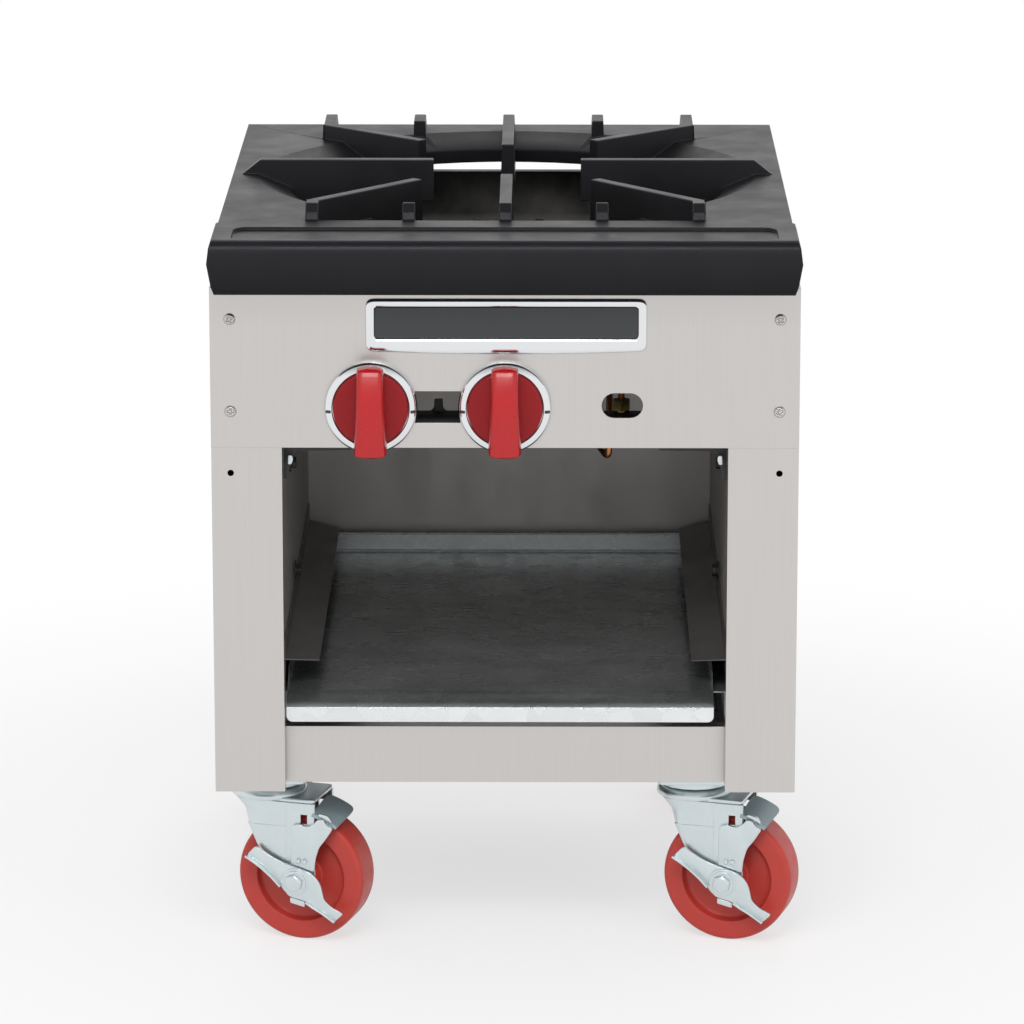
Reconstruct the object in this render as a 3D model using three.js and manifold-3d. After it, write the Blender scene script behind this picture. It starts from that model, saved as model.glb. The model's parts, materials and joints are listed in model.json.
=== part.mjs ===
// Stock pot range: one round cast-iron top over a three-ring burner, on an open stainless
// cabinet with a drip tray and four swivel casters, the front pair with side-lever brakes.
// Millimetres, +Z up from the floor, +Y towards the back, origin under the middle of the box.
import * as THREE from "three";
import { mergeVertices } from "three/addons/utils/BufferGeometryUtils.js";
import Module from "manifold-3d";

const wasm = await Module();
wasm.setup();

// ---------------------------------------------------------------- driving dimensions
// Cabinet. Depths run back from the control panel's face, heights up from the frame's underside.
const BODY_WIDTH = 457;
const BODY_DEPTH = 497;
const BODY_HEIGHT = 406; // seat of the cast top
const CASTER_HEIGHT = 140; // floor to the frame's underside
const SHEET = 1.2; // stainless sheet
const GAP = 0.3; // between pieces that don't share a flat seat
const STILE_WIDTH = 55;
const STILE_LIP = 15;
const SIDE_REAR_FLANGE = 20;
const STILE_HOLE = { inset: 15, drop: 147.5, r: 2.5 };
const BASE_SHEET = 2;
const BASE_RAIL_WIDTH = 109;
const BASE_RAIL_HEIGHT = 30;
const RAIL_HEIGHT = 46;
const RAIL_FLANGE = 14;
const RAIL_SETBACK = 22;
const BACK_TOP = BODY_HEIGHT + 3.7; // the flue stays open between this edge and the cast top

// Control panel, its cut-outs and its badge plate.
const PANEL_HEIGHT = 127;
const PANEL_FLANGE = 16;
const VALVE_X = [-104, 0];
const VALVE_Z = BODY_HEIGHT - 94;
const VALVE_HOLE = 10;
const SERVICE_SLOT = { x0: -71, x1: -33, z0: BODY_HEIGHT - 107, z1: BODY_HEIGHT - 82 };
const PILOT_SLOT = { x: 91, z: BODY_HEIGHT - 93.2, length: 32, height: 19.6 };
const BADGE = { x: 1, z: BODY_HEIGHT - 29, width: 218, height: 44, depth: 3.2, corner: 6, arch: 2.5 };
const BADGE_POCKET = { z: BODY_HEIGHT - 27.5, width: 204, height: 25, depth: 1.6, corner: 3 };

// Knobs: a red handle bar on a disc that turns inside a fixed chrome bezel.
const BEZEL = { r: 36.25, bore: 30.3, depth: 9, floor: 2 };
const KNOB = { disc: 29.2, discTop: 10.5, bar: 70.6, top: 18.6, foot: 26, reach: 34, overhang: 12.5 };
const STEM = { r: 4.2, length: 44, socket: 19 };

// Cast top.
const DECK_TOP = BODY_HEIGHT + 42.6;
const DECK_WIDTH = BODY_WIDTH - 10;
const DECK_FRONT = 44;
const DECK_THICK = 10;
const SKIRT = 6;
const BURNER_Y = BODY_DEPTH / 2 + 11.5; // centre of the round opening and of the burner
const OPENING_R = 176;
const FUNNEL_R = 203;
const FUNNEL_DROP = 11;
const RIM_DEPTH = 22;
const RIM_WALL = 12;
// In front the opening widens into a straight-edged recess behind the ledge.
const RECESS = { front: DECK_FRONT + 10, slope: 6, wall: 8 };
// Ribs stand at 0, 1 and 2 pitches from the middle; the outer ones bend towards the middle.
const RIB = { rise: 12, top: 9.5, foot: 12, pitch: 75.5, centre: 68, side: 60, toe: 15, chamfer: 10 };
const RIB_TIP = { x: 71, y: 90 };
const RIB_STRAIGHT = { rear: 67, front: 22 }; // length of an outer rib from its foot to its bend
const NOSE = { reach: 36, width: BODY_WIDTH - 0.4, edge: 10, wall: 8 };
const NOSE_STRIP = { width: BODY_WIDTH - 37, y0: -27, y1: 25, depth: 2.5, corner: 12 };

// Drip tray and what carries it.
const TRAY = {
  leftGap: 2.2, rightGap: 10.2, floor: 75, side: 90, rear: 92,
  front: 10, apron: 30.5, apronDrop: 8.3, lip: 11.9, back: BODY_DEPTH - 17,
};
const RUNNER = { shelf: 24, flange: 22, y0: 34, y1: BODY_DEPTH - 19 };
const LEDGE = { reach: 27, high: 101, low: 94, flange: 16, y0: 25, y1: BODY_DEPTH - 12, slant: 26 };

// Burner, gas train.
const RINGS = [
  { r: 135, width: 20 },
  { r: 90, width: 20 },
  { r: 44, width: 18 },
];
const RING_HEIGHT = 24;
const PORTS = [16, 12, 8];
const SUPPORT_TOP = BODY_HEIGHT - 44.5;
const SUPPORT = { leg: 20, shelf: 24, t: 3, front: BURNER_Y - 118, rear: BURNER_Y + 118 };
const ARM_DROP = 8; // seat of the inner ring below the underside of the others
const VENTURI = { z: BODY_HEIGHT - 84, mouth: 24, throat: 12.5, end: 16, wall: 3, y0: 90 };
const SHUTTER = { r: 25, t: 1.5, gap: 0.6 };
const NECK_R = 19;
const PIPE_R = 10.65;
const MANIFOLD = { y: 54, z: BODY_HEIGHT - 120, endGap: 24.7 };
const VALVE = { front: 14, back: 36, half: 12, bore: 12, spudY: 74, hoodY: 96, spud: 5, hood: 7 };
const SUPPLY = { x: BODY_WIDTH / 2 - 34.5, bend: 16, stub: 18, bore: 8, fitting: 2.5 };
const PILOT_TUBE_R = 2.6;
const PILOT = {
  nut: 13, seat: BODY_HEIGHT - 100, rise: 16, aside: 9, behind: 26, drop: BODY_HEIGHT - 150,
  burnerX: 52, burnerY: BURNER_Y - 99, clip: 10,
  inlet: 26, hoodFoot: 13, hoodHeight: 11,
};

// Casters, in their own frame: swivel axis at the origin, top plate at z = 0.
const CASTER_X = { left: 38.5 - BODY_WIDTH / 2, right: BODY_WIDTH / 2 - 76.5 };
const CASTER_Y = { front: 80, rear: BODY_DEPTH - 67 };
const FRONT_SWIVEL = -16; // degrees, wheel faces turned a little to the left
const REAR_SWIVEL = 90;
const WHEEL = { r: 52.5, width: 34, dish: 38, dishFoot: 33, dishDepth: 8, hub: 15, bore: 6.6, edge: 3 };
const LEAD = 31; // swivel axis to axle
const PLATE = { x: 62, y: 92, t: 4, hole: 4.5, inset: 9 };
const RACE_R = 30;
const FORK = { t: 3, gap: 4.6, crown: 31, top: -13.2, bridge: -24, right: 45, webFoot: -52 };
const KINGPIN = { r: 6, head: 11, headDepth: 3.5 };
const AXLE = { r: 6, hole: 6.8, head: 8, headDepth: 7, washer: 11.5 };
const LEVER = { arm: 46, t: 3, body: 14, neck: 5.5, end: 6.5, tilt: -36.5 };
const SHOE = { from: 41, to: 73, clearance: 2.6, t: 4.5, width: 30 };

// ---------------------------------------------------------------- derived places
const HALF = BODY_WIDTH / 2;
const CLEAR_HALF = HALF - STILE_WIDTH; // half the opening between the stiles
const LINER_X = CLEAR_HALF + SHEET;
const STILE_Y = SHEET; // the panel lies on the stiles
const BACK_Y = BODY_DEPTH - SHEET; // rear face of the back panel
const PANEL_Z = BODY_HEIGHT - PANEL_HEIGHT;
const SUPPLY_END = BODY_DEPTH + SUPPLY.stub;
const ORIGIN_Y = (SUPPLY_END - NOSE.reach) / 2;
const WHEEL_Z = WHEEL.r - CASTER_HEIGHT;

// ---------------------------------------------------------------- materials
function finish(color, roughness, metalness) {
  return new THREE.MeshStandardMaterial({ color, roughness, metalness });
}
const stainless = finish(0xc6c3be, 0.35, 1);
const darkSteel = finish(0x5c5b59, 0.5, 1);
const castIron = finish(0x2b2b2c, 0.7, 0.3);
const chrome = finish(0xd8dadc, 0.1, 1);
const redPlastic = finish(0xb71c22, 0.3, 0);
const blackEnamel = finish(0x2a2d30, 0.35, 0);
const galvanised = finish(0x8f9190, 0.4, 1);
const zincPlate = finish(0xc5cfd2, 0.3, 1);
const redUrethane = finish(0xb8382f, 0.45, 0);
const brass = finish(0xb58a3c, 0.3, 1);
const copper = finish(0xb8693f, 0.3, 1);
const blackPipe = finish(0x2e2d2c, 0.6, 0.6);

// ---------------------------------------------------------------- solids
// Turns a closed geometry into a solid, with its faces outwards whatever way it was drawn.
function solid(geometry) {
  const bare = new THREE.BufferGeometry();
  const source = geometry.index ? geometry.toNonIndexed() : geometry;
  bare.setAttribute("position", source.getAttribute("position").clone());
  const merged = mergeVertices(bare, 1e-4);
  const p = merged.attributes.position;
  const corner = [0, 1, 2].map(() => new THREE.Vector3());
  const faces = [];
  let volume = 0;
  for (let i = 0; i < merged.index.count; i += 3) {
    const [a, b, c] = [0, 1, 2].map((k) => merged.index.getX(i + k));
    if (a === b || b === c || c === a) continue;
    [a, b, c].forEach((index, k) => corner[k].fromBufferAttribute(p, index));
    volume += corner[0].dot(corner[1].clone().cross(corner[2]));
    faces.push([a, b, c]);
  }
  if (volume < 0) faces.forEach((face) => face.reverse());
  return new wasm.Manifold(
    new wasm.Mesh({
      numProp: 3,
      vertProperties: new Float32Array(p.array),
      triVerts: new Uint32Array(faces.flat()),
    }),
  );
}

function surface(body) {
  const { vertProperties, triVerts } = body.getMesh();
  const geometry = new THREE.BufferGeometry();
  geometry.setAttribute("position", new THREE.BufferAttribute(vertProperties, 3));
  geometry.setIndex(new THREE.BufferAttribute(triVerts, 1));
  const faceted = geometry.toNonIndexed();
  faceted.computeVertexNormals();
  return faceted;
}

function join(first, ...others) {
  return others.reduce((all, next) => all.add(next), first);
}

function cut(first, ...tools) {
  return tools.reduce((all, tool) => all.subtract(tool), first);
}

function box(x0, x1, y0, y1, z0, z1) {
  const block = new THREE.BoxGeometry(x1 - x0, y1 - y0, z1 - z0);
  block.translate((x0 + x1) / 2, (y0 + y1) / 2, (z0 + z1) / 2);
  return solid(block);
}

function shapeOf(outline) {
  if (outline instanceof THREE.Path) return outline;
  const apart = outline.filter(([u, v], i) => {
    const [lastU, lastV] = outline.at(i - 1);
    return Math.hypot(u - lastU, v - lastV) > 1e-6;
  });
  return new THREE.Shape(apart.map(([u, v]) => new THREE.Vector2(u, v)));
}

// A prism stands on an outline: along Z over (x, y), along X over (y, z), along Y over (x, z).
function prism(outline, from, to, basis, curveSegments) {
  const geometry = new THREE.ExtrudeGeometry(shapeOf(outline), {
    depth: to - from,
    bevelEnabled: false,
    curveSegments,
  });
  geometry.translate(0, 0, from);
  geometry.applyMatrix4(new THREE.Matrix4().makeBasis(...basis));
  return solid(geometry);
}
const X = new THREE.Vector3(1, 0, 0);
const Y = new THREE.Vector3(0, 1, 0);
const Z = new THREE.Vector3(0, 0, 1);
const prismZ = (outline, z0, z1, steps = 6) => prism(outline, z0, z1, [X, Y, Z], steps);
const prismX = (outline, x0, x1, steps = 6) => prism(outline, x0, x1, [Y, Z, X], steps);
const prismY = (outline, y0, y1, steps = 6) =>
  prism(outline, -y1, -y0, [X, Z, Y.clone().negate()], steps);

// Revolves a closed profile of (radius, height) points about Z.
function turned(profile, segments) {
  const closed = [...profile, profile[0]].map(([r, z]) => new THREE.Vector2(r, z));
  return solid(new THREE.LatheGeometry(closed, segments).rotateX(Math.PI / 2));
}

function moved(geometryBody, matrix) {
  return solid(surface(geometryBody).applyMatrix4(matrix));
}
const shift = (x, y, z) => new THREE.Matrix4().makeTranslation(x, y, z);
const spin = (degrees) => new THREE.Matrix4().makeRotationZ(THREE.MathUtils.degToRad(degrees));
// Lays the axis of a turned piece along the depth, its top end towards the back.
const layBack = new THREE.Matrix4().makeRotationX(-Math.PI / 2);
const layAlongX = new THREE.Matrix4().makeRotationY(Math.PI / 2);

function rod(r, z0, z1, segments = 20) {
  return turned([[0, z0], [r, z0], [r, z1], [0, z1]], segments);
}

function rodY(r, x, y0, y1, z, segments = 20) {
  return moved(rod(r, y0, y1, segments), shift(x, 0, z).multiply(layBack));
}

function hexRod(acrossFlats, z0, z1) {
  return rod(acrossFlats / Math.sqrt(3), z0, z1, 6);
}

// Bent tube of one radius along a path with rounded corners.
function tube(points, r, bend, steps) {
  const path = new THREE.CurvePath();
  const at = points.map((p) => new THREE.Vector3(...p));
  let start = at[0];
  for (let i = 1; i < at.length - 1; i += 1) {
    const before = at[i].clone().add(at[i - 1].clone().sub(at[i]).setLength(bend));
    const after = at[i].clone().add(at[i + 1].clone().sub(at[i]).setLength(bend));
    path.add(new THREE.LineCurve3(start, before));
    path.add(new THREE.QuadraticBezierCurve3(before, at[i], after));
    start = after;
  }
  path.add(new THREE.LineCurve3(start, at.at(-1)));
  const section = new THREE.Shape().absarc(0, 0, r, 0, 2 * Math.PI);
  return solid(new THREE.ExtrudeGeometry(section, { steps, extrudePath: path, curveSegments: 3 }));
}

// Outline of a folded sheet: the face line and its copy one sheet to the left of its direction.
function folded(line, thickness = SHEET) {
  const normals = line.slice(1).map(([x, y], i) => {
    const along = new THREE.Vector2(x - line[i][0], y - line[i][1]).normalize();
    return new THREE.Vector2(-along.y, along.x);
  });
  const inner = line.map(([x, y], i) => {
    const before = normals[Math.max(i - 1, 0)];
    const after = normals[Math.min(i, normals.length - 1)];
    const miter = before.clone().add(after).normalize();
    const reach = thickness / miter.dot(before);
    return [x + miter.x * reach, y + miter.y * reach];
  });
  return [...line, ...inner.reverse()];
}

function rectangle(x0, x1, y0, y1) {
  return shapeOf([[x0, y0], [x1, y0], [x1, y1], [x0, y1]]);
}

function roundedRectangle(x0, x1, y0, y1, r) {
  const shape = new THREE.Shape();
  shape.moveTo(x0 + r, y0);
  shape.lineTo(x1 - r, y0).absarc(x1 - r, y0 + r, r, -Math.PI / 2, 0);
  shape.lineTo(x1, y1 - r).absarc(x1 - r, y1 - r, r, 0, Math.PI / 2);
  shape.lineTo(x0 + r, y1).absarc(x0 + r, y1 - r, r, Math.PI / 2, Math.PI);
  shape.lineTo(x0, y0 + r).absarc(x0 + r, y0 + r, r, Math.PI, 1.5 * Math.PI);
  return shape;
}

// ---------------------------------------------------------------- scene graph
const range = new THREE.Group();
const cabinet = new THREE.Group(); // x right, y back from the panel face, z up from the frame
cabinet.position.set(0, -ORIGIN_Y, CASTER_HEIGHT);
range.add(cabinet);

function add(parent, name, body, material) {
  const mesh = new THREE.Mesh(surface(body), material);
  mesh.name = name;
  parent.add(mesh);
}
const SIDES = [["left", -1], ["right", 1]];
const mirrorX = (line, side) => line.map(([x, y]) => [x * side, y]);

// ---------------------------------------------------------------- cabinet
// A side is one sheet: a stile with its lip, the outer wall, a rear flange and a top flange.
function sidePanel(side) {
  const line = [
    [CLEAR_HALF, STILE_Y + STILE_LIP],
    [CLEAR_HALF, STILE_Y],
    [HALF, STILE_Y],
    [HALF, BODY_DEPTH],
    [HALF - SIDE_REAR_FLANGE, BODY_DEPTH],
  ];
  const wall = prismZ(mirrorX(folded(line), side), 0, BODY_HEIGHT);
  const flangeX = [side * (HALF - SIDE_REAR_FLANGE), side * HALF].sort((a, b) => a - b);
  const clearOfPanel = PANEL_FLANGE + GAP;
  const seatY = [clearOfPanel + STILE_LIP, BACK_Y - SHEET - GAP];
  const seat = box(...flangeX, ...seatY, BODY_HEIGHT - SHEET, BODY_HEIGHT);
  const underPanel = BODY_HEIGHT - SHEET - GAP;
  const panelSeat = box(-HALF - 1, HALF + 1, 0, clearOfPanel, underPanel, BODY_HEIGHT + 1);
  const { inset, drop, r } = STILE_HOLE;
  const hole = rodY(r, side * (HALF - inset), 0, 2 * STILE_LIP, BODY_HEIGHT - drop, 12);
  return cut(join(wall, seat), panelSeat, hole);
}

function liner(side) {
  const rearFlange = 8;
  const line = [
    [LINER_X + rearFlange, BACK_Y - SHEET],
    [LINER_X, BACK_Y - SHEET],
    [LINER_X, STILE_Y + SHEET + GAP],
  ];
  const wall = prismZ(mirrorX(folded(line), side), BASE_SHEET + GAP, BODY_HEIGHT - 2);
  const pipeHole = rod(PIPE_R + GAP, LINER_X - 5, LINER_X + 5, 24);
  const placed = moved(pipeHole, shift(0, MANIFOLD.y, MANIFOLD.z).multiply(layAlongX));
  return side > 0 ? cut(wall, placed) : wall;
}

// Channel under a side, between the front and rear rails; the caster plates bolt to its web.
function baseRail(side) {
  const across = (x0, x1) => [x0 * side, x1 * side].sort((a, b) => a - b);
  const inner = HALF - BASE_RAIL_WIDTH;
  const outer = HALF - SHEET;
  const front = RAIL_SETBACK + RAIL_FLANGE + GAP;
  const rear = BACK_Y - SHEET - RAIL_FLANGE - GAP;
  return join(
    box(...across(inner, outer), front, rear, 0, BASE_SHEET),
    box(...across(inner, inner + BASE_SHEET), front, rear, 0, BASE_RAIL_HEIGHT),
    box(...across(outer - BASE_SHEET, outer), front, rear, 0, BASE_RAIL_HEIGHT),
  );
}

function crossRail(face, direction) {
  const back = face + direction * RAIL_FLANGE;
  const top = BASE_SHEET + RAIL_HEIGHT;
  const line = [[back, top], [face, top], [face, BASE_SHEET], [back, BASE_SHEET]];
  return prismX(folded(direction > 0 ? line : line.reverse()), -LINER_X, LINER_X);
}

function backPanel() {
  const edge = HALF - SHEET - GAP;
  const neck = DECK_WIDTH / 2 - SKIRT - 1.5;
  const shoulder = BODY_HEIGHT - SHEET - GAP;
  const outline = [
    [-edge, BASE_SHEET + GAP], [edge, BASE_SHEET + GAP], [edge, shoulder], [neck, shoulder],
    [neck, BACK_TOP], [-neck, BACK_TOP], [-neck, shoulder], [-edge, shoulder],
  ];
  const sheet = prismY(outline, BACK_Y - SHEET, BACK_Y);
  const hem = box(-neck, neck, BACK_Y - 10, BACK_Y, BACK_TOP - SHEET, BACK_TOP);
  const pipeHole = rodY(PIPE_R + GAP, SUPPLY.x, BACK_Y - 5, BACK_Y + 5, MANIFOLD.z, 24);
  return cut(join(sheet, hem), pipeHole);
}

function controlPanel() {
  const face = rectangle(-HALF, HALF, PANEL_Z, BODY_HEIGHT);
  for (const x of VALVE_X) face.holes.push(new THREE.Path().absarc(x, VALVE_Z, VALVE_HOLE, 0, 2 * Math.PI));
  const { x0, x1, z0, z1 } = SERVICE_SLOT;
  face.holes.push(rectangle(x0, x1, z0, z1));
  const end = PILOT_SLOT.height / 2;
  const reach = PILOT_SLOT.length / 2 - end;
  const oblong = new THREE.Path().absarc(PILOT_SLOT.x + reach, PILOT_SLOT.z, end, -Math.PI / 2, Math.PI / 2);
  oblong.absarc(PILOT_SLOT.x - reach, PILOT_SLOT.z, end, Math.PI / 2, 1.5 * Math.PI);
  face.holes.push(oblong);
  return join(
    prismY(face, 0, SHEET, 5),
    box(-HALF, HALF, 0, PANEL_FLANGE, BODY_HEIGHT - SHEET, BODY_HEIGHT),
    box(-CLEAR_HALF + GAP, CLEAR_HALF - GAP, 0, PANEL_FLANGE, PANEL_Z, PANEL_Z + SHEET),
  );
}

// Badge plate: a chromed frame with an arched lower edge and a pocket for a dark inset.
function badgeFrame() {
  const [x0, x1] = [BADGE.x - BADGE.width / 2, BADGE.x + BADGE.width / 2];
  const [z0, z1] = [BADGE.z - BADGE.height / 2, BADGE.z + BADGE.height / 2];
  const r = BADGE.corner;
  const shape = new THREE.Shape();
  shape.moveTo(x0 + r, z0 + BADGE.arch);
  shape.quadraticCurveTo(BADGE.x, z0 - BADGE.arch, x1 - r, z0 + BADGE.arch);
  shape.absarc(x1 - r, z0 + BADGE.arch + r, r, -Math.PI / 2, 0);
  shape.lineTo(x1, z1 - r).absarc(x1 - r, z1 - r, r, 0, Math.PI / 2);
  shape.lineTo(x0 + r, z1).absarc(x0 + r, z1 - r, r, Math.PI / 2, Math.PI);
  shape.lineTo(x0, z0 + BADGE.arch + r).absarc(x0 + r, z0 + BADGE.arch + r, r, Math.PI, 1.5 * Math.PI);
  const pocket = badgePocket(0, -BADGE.depth - 1, BADGE_POCKET.depth - BADGE.depth);
  return cut(prismY(shape, -BADGE.depth, 0, 3), pocket);
}

function badgePocket(clearance, y0, y1) {
  const { z, width, height, corner } = BADGE_POCKET;
  const [w, h] = [width / 2 - clearance, height / 2 - clearance];
  return prismY(roundedRectangle(BADGE.x - w, BADGE.x + w, z - h, z + h, corner), y0, y1, 2);
}

for (const [name, side] of SIDES) {
  add(cabinet, `side_panel_${name}`, sidePanel(side), stainless);
  add(cabinet, `liner_${name}`, liner(side), darkSteel);
  add(cabinet, `base_rail_${name}`, baseRail(side), galvanised);
}
add(cabinet, "front_rail", crossRail(RAIL_SETBACK, 1), stainless);
add(cabinet, "rear_rail", crossRail(BACK_Y - SHEET, -1), stainless);
add(cabinet, "back_panel", backPanel(), darkSteel);
add(cabinet, "control_panel", controlPanel(), stainless);
add(cabinet, "badge_frame", badgeFrame(), chrome);
add(cabinet, "badge_inset", badgePocket(GAP, 1 - BADGE.depth, BADGE_POCKET.depth - BADGE.depth), blackEnamel);

// ---------------------------------------------------------------- knobs
// Local frame of a knob: x right, y up, z towards the cook, z = 0 on the panel's face.
function bezel() {
  const { r, bore, depth, floor } = BEZEL;
  return turned([
    [VALVE_HOLE, 0], [r, 0], [r, 3], [r - 1.6, depth - 1.4], [r - 3, depth - 0.2],
    [bore + 1, depth], [bore, depth - 0.8], [bore, floor], [VALVE_HOLE, floor],
  ], 24);
}

function knob() {
  const { disc, discTop, bar, top, foot, reach, overhang } = KNOB;
  const skirtFoot = BEZEL.floor + 2 * GAP;
  const skirt = turned([
    [0, skirtFoot], [disc, skirtFoot], [disc, discTop - 1.5], [disc - 1.5, discTop], [0, discTop + 1],
  ], 30);
  const half = bar / 2;
  const plan = prismZ(roundedTaper(half, top / 2, foot / 2, 2.5), 0, reach + 5, 3);
  const crown = new THREE.Shape();
  crown.moveTo(-half, overhang);
  crown.lineTo(-half, reach - 9);
  crown.quadraticCurveTo(-half, reach - 3.2, -half + 6, reach - 2.6);
  crown.quadraticCurveTo(0, reach + 2.6, half - 6, reach - 2.6);
  crown.quadraticCurveTo(half, reach - 3.2, half, reach - 9);
  crown.lineTo(half, overhang);
  crown.lineTo(disc - 2, overhang);
  crown.lineTo(disc - 2, discTop - 1);
  crown.lineTo(2 - disc, discTop - 1);
  crown.lineTo(2 - disc, overhang);
  const handle = plan.intersect(prismX(crown, -foot, foot, 5));
  const socket = rod(STEM.r + GAP, 0, STEM.socket + GAP, 16);
  return cut(join(skirt, handle), socket);
}

// Plan of the handle bar, narrow at the top, wide at the foot, with rounded ends.
function roundedTaper(half, topHalf, footHalf, r) {
  const shape = new THREE.Shape();
  shape.moveTo(-footHalf + r, -half);
  shape.lineTo(footHalf - r, -half).quadraticCurveTo(footHalf, -half, footHalf, -half + r);
  shape.lineTo(topHalf, half - r).quadraticCurveTo(topHalf, half, topHalf - r, half);
  shape.lineTo(-topHalf + r, half).quadraticCurveTo(-topHalf, half, -topHalf, half - r);
  shape.lineTo(-footHalf, -half + r).quadraticCurveTo(-footHalf, -half, -footHalf + r, -half);
  return shape;
}

// Valve: body with its stem bore, a tail into the manifold and a hooded orifice over the pipe.
function valveBody(x) {
  const { front, back, half, bore, spudY, hoodY, spud, hood } = VALVE;
  const low = MANIFOLD.z - 4;
  const body = prismY(roundedRectangle(x - half, x + half, low, VENTURI.z + 9, 4), front, back, 3);
  const tail = rodY(6, x, back - 1, MANIFOLD.y - PIPE_R - GAP, MANIFOLD.z, 12);
  const outlet = rodY(spud, x, back - 1, spudY + 1, VENTURI.z, 12);
  const cap = rodY(hood, x, spudY, hoodY, VENTURI.z, 6);
  const stemBore = rodY(STEM.r + GAP, x, front - 1, front + bore, VALVE_Z, 16);
  return cut(join(body, tail, outlet, cap), stemBore);
}

VALVE_X.forEach((x, i) => {
  const name = SIDES[i][0];
  const front = new THREE.Group();
  front.position.set(x, 0, VALVE_Z);
  front.rotation.x = Math.PI / 2;
  cabinet.add(front);
  add(front, `bezel_${name}`, bezel(), chrome);
  add(front, `knob_${name}`, knob(), redPlastic);
  const stemEnd = STEM.socket - STEM.length;
  add(front, `valve_stem_${name}`, rod(STEM.r, stemEnd, STEM.socket, 16), zincPlate);
  add(cabinet, `valve_${name}`, valveBody(x), brass);
});

// ---------------------------------------------------------------- cast top
// A rib's side view runs from its inner end to its foot; its section narrows upwards.
function rib({ inner, crest, crestRise, slope, foot, turn, offset = 0 }) {
  const profile = [
    [inner, -RIM_DEPTH], [inner, RIB.rise], [slope, RIB.rise], [crest, crestRise],
    [foot, 0], [foot, 1 - DECK_THICK], [Math.max(OPENING_R + 4, inner + 4), -RIM_DEPTH],
  ];
  const flare = [
    [-RIB.top / 2, RIB.rise + 1], [RIB.top / 2, RIB.rise + 1],
    [RIB.foot / 2, -RIM_DEPTH - 1], [-RIB.foot / 2, -RIM_DEPTH - 1],
  ];
  const blank = prismY(profile, -RIB.foot, RIB.foot).intersect(prismX(flare, inner - 1, foot + 1));
  const place = shift(0, BURNER_Y, DECK_TOP).multiply(spin(turn)).multiply(shift(0, offset, 0));
  return moved(blank, place);
}

// A rib between two points of the plan, taken from the middle of the opening.
function ribBetween([x0, y0], [x1, y1]) {
  const span = Math.hypot(x1 - x0, y1 - y0);
  const [u, v] = [(x1 - x0) / span, (y1 - y0) / span];
  const foot = u * x1 + v * y1 + RIB.top / 4;
  const turn = THREE.MathUtils.radToDeg(Math.atan2(v, u));
  const line = { inner: u * x0 + v * y0, offset: u * y0 - v * x0, turn };
  return rib({ ...line, slope: foot, crest: foot, crestRise: RIB.rise, foot });
}

function ribs() {
  const { rise, pitch, centre, toe, chamfer } = RIB;
  const sideFoot = DECK_WIDTH / 2 - 7.5;
  const rearFoot = BODY_DEPTH - 5 - BURNER_Y;
  const frontFoot = BURNER_Y - RECESS.front;
  const ended = (foot) => ({ slope: foot - toe, crest: foot - toe, crestRise: rise, foot });
  const side = { ...ended(sideFoot), inner: RIB.side };
  const rear = { ...ended(rearFoot), turn: 90 };
  const front = {
    slope: frontFoot - chamfer, crest: frontFoot - 2, crestRise: rise / 2, foot: frontFoot, turn: -90,
  };
  const rearBend = rearFoot - RIB_STRAIGHT.rear;
  const frontBend = frontFoot - RIB_STRAIGHT.front;
  const outer = [-1, 1].flatMap((s) => [
    ribBetween([s * RIB_TIP.x, RIB_TIP.y], [s * 2 * pitch, rearBend]),
    ribBetween([s * RIB_TIP.x, -RIB_TIP.y], [s * 2 * pitch, -frontBend]),
    rib({ ...rear, inner: rearBend - 2, offset: s * 2 * pitch }),
    rib({ ...front, inner: frontBend - 2, offset: s * 2 * pitch }),
    rib({ ...rear, inner: OPENING_R + 7, offset: s * pitch }),
    rib({ ...front, inner: frontFoot - 1.3 * chamfer, offset: s * pitch }),
  ]);
  return [
    rib({ ...side, turn: 0 }),
    rib({ ...side, turn: 180 }),
    rib({ ...rear, inner: centre }),
    rib({ ...front, inner: centre }),
    ...outer,
  ];
}

// Straight-edged recess between the outer ribs, its walls sloping down to the rim's level.
function frontRecess() {
  const { front, slope } = RECESS;
  const floor = DECK_TOP - FUNNEL_DROP;
  const half = 2 * RIB.pitch;
  const sideView = [
    [front, DECK_TOP + 1], [front, DECK_TOP], [front + slope, floor],
    [BURNER_Y, floor], [BURNER_Y, DECK_TOP + 1],
  ];
  const frontView = [
    [-half, DECK_TOP + 1], [-half, DECK_TOP], [slope - half, floor],
    [half - slope, floor], [half, DECK_TOP], [half, DECK_TOP + 1],
  ];
  return prismX(sideView, -half - 1, half + 1).intersect(prismY(frontView, front - 1, BURNER_Y + 1));
}

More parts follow.
